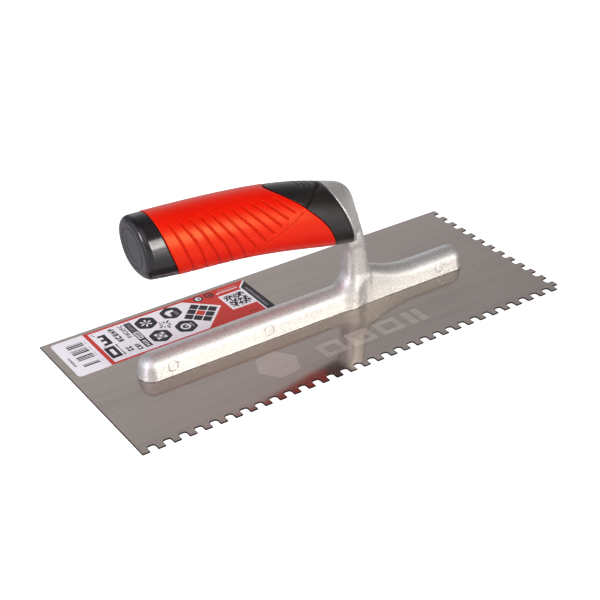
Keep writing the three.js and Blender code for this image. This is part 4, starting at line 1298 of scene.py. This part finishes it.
# the room: broad soft lobes of light, azimuth, elevation, radiance by channel
ROOM = [
    (-180, 8, (0.85, 0.98, 0.81)), (-150, 8, (0.31, 0.38, 0.22)), (-120, 8, (0.00, 0.05, 0.00)), (-90, 8, (0.44, 0.41, 0.29)),
    (-60, 8, (0.72, 0.73, 0.72)), (-30, 8, (0.14, 0.13, 0.12)), (30, 8, (0.16, 0.13, 0.08)), (60, 8, (0.78, 0.83, 0.87)),
    (120, 8, (0.19, 0.18, 0.17)), (150, 8, (0.77, 0.83, 0.93)), (-180, 32, (0.75, 0.54, 0.71)), (-144, 32, (0.64, 0.49, 0.50)),
    (-108, 32, (1.00, 0.90, 0.94)), (36, 32, (0.22, 0.22, 0.25)), (72, 32, (0.50, 0.48, 0.51)), (108, 32, (0.18, 0.24, 0.26)),
    (144, 32, (0.37, 0.34, 0.45)), (-120, 57, (0.90, 0.75, 0.99)), (-60, 57, (0.22, 0.20, 0.18)), (60, 57, (0.12, 0.15, 0.14)),
   
]
world = bpy.data.worlds.new("studio")
bpy.context.scene.world = world
world.use_nodes = True
wt = world.node_tree
wt.nodes.clear()
wo = wt.nodes.new("ShaderNodeOutputWorld")
bg = wt.nodes.new("ShaderNodeBackground")
wt.links.new(bg.outputs[0], wo.inputs["Surface"])
tc = wt.nodes.new("ShaderNodeTexCoord")
nv = wt.nodes.new("ShaderNodeVectorMath")
nv.operation = "NORMALIZE"
wt.links.new(tc.outputs["Generated"], nv.inputs[0])
total = None
for az, el, rgb in ROOM:
    dot = wt.nodes.new("ShaderNodeVectorMath")
    dot.operation = "DOT_PRODUCT"
    dot.inputs[1].default_value = direction(az, el)
    wt.links.new(nv.outputs[0], dot.inputs[0])
    fall = wt.nodes.new("ShaderNodeMath")
    fall.operation = "MULTIPLY_ADD"
    fall.inputs[1].default_value, fall.inputs[2].default_value = 18.0, -18.0
    wt.links.new(dot.outputs["Value"], fall.inputs[0])
    ex = wt.nodes.new("ShaderNodeMath")
    ex.operation = "EXPONENT"
    wt.links.new(fall.outputs[0], ex.inputs[0])
    add_ = wt.nodes.new("ShaderNodeVectorMath")
    add_.operation = "MULTIPLY_ADD"
    add_.inputs[1].default_value = rgb
    wt.links.new(ex.outputs[0], add_.inputs[0])
    if total is None:
        add_.inputs[2].default_value = (0.01, 0.01, 0.01)
    else:
        wt.links.new(total, add_.inputs[2])
    total = add_.outputs[0]
lp = wt.nodes.new("ShaderNodeLightPath")
mx = wt.nodes.new("ShaderNodeMix")
mx.data_type = "RGBA"
wt.links.new(lp.outputs["Is Camera Ray"], mx.inputs[0])
wt.links.new(total, mx.inputs[6])
mx.inputs[7].default_value = (1, 1, 1, 1)
wt.links.new(mx.outputs[2], bg.inputs["Color"])
bg.inputs["Strength"].default_value = 1.0

cam_data = bpy.data.cameras.new("main")
cam = bpy.data.objects.new("main", cam_data)
bpy.context.scene.collection.objects.link(cam)
cam.matrix_world = Matrix(((0.829386, 0.300810, -0.470778, -0.377800), (-0.558384, 0.419106, -0.715932, -0.566232), (-0.018053, 0.856659, 0.515568, 0.421237), (0, 0, 0, 1)))
cam_data.sensor_width = 36.0
cam_data.lens = 83.8555
cam_data.clip_start, cam_data.clip_end = 0.01, 50
bpy.context.scene.camera = cam

vs = bpy.context.scene.view_settings
vs.view_transform = "Standard"
vs.look = "None"
vs.exposure, vs.gamma = 0.0, 1.0
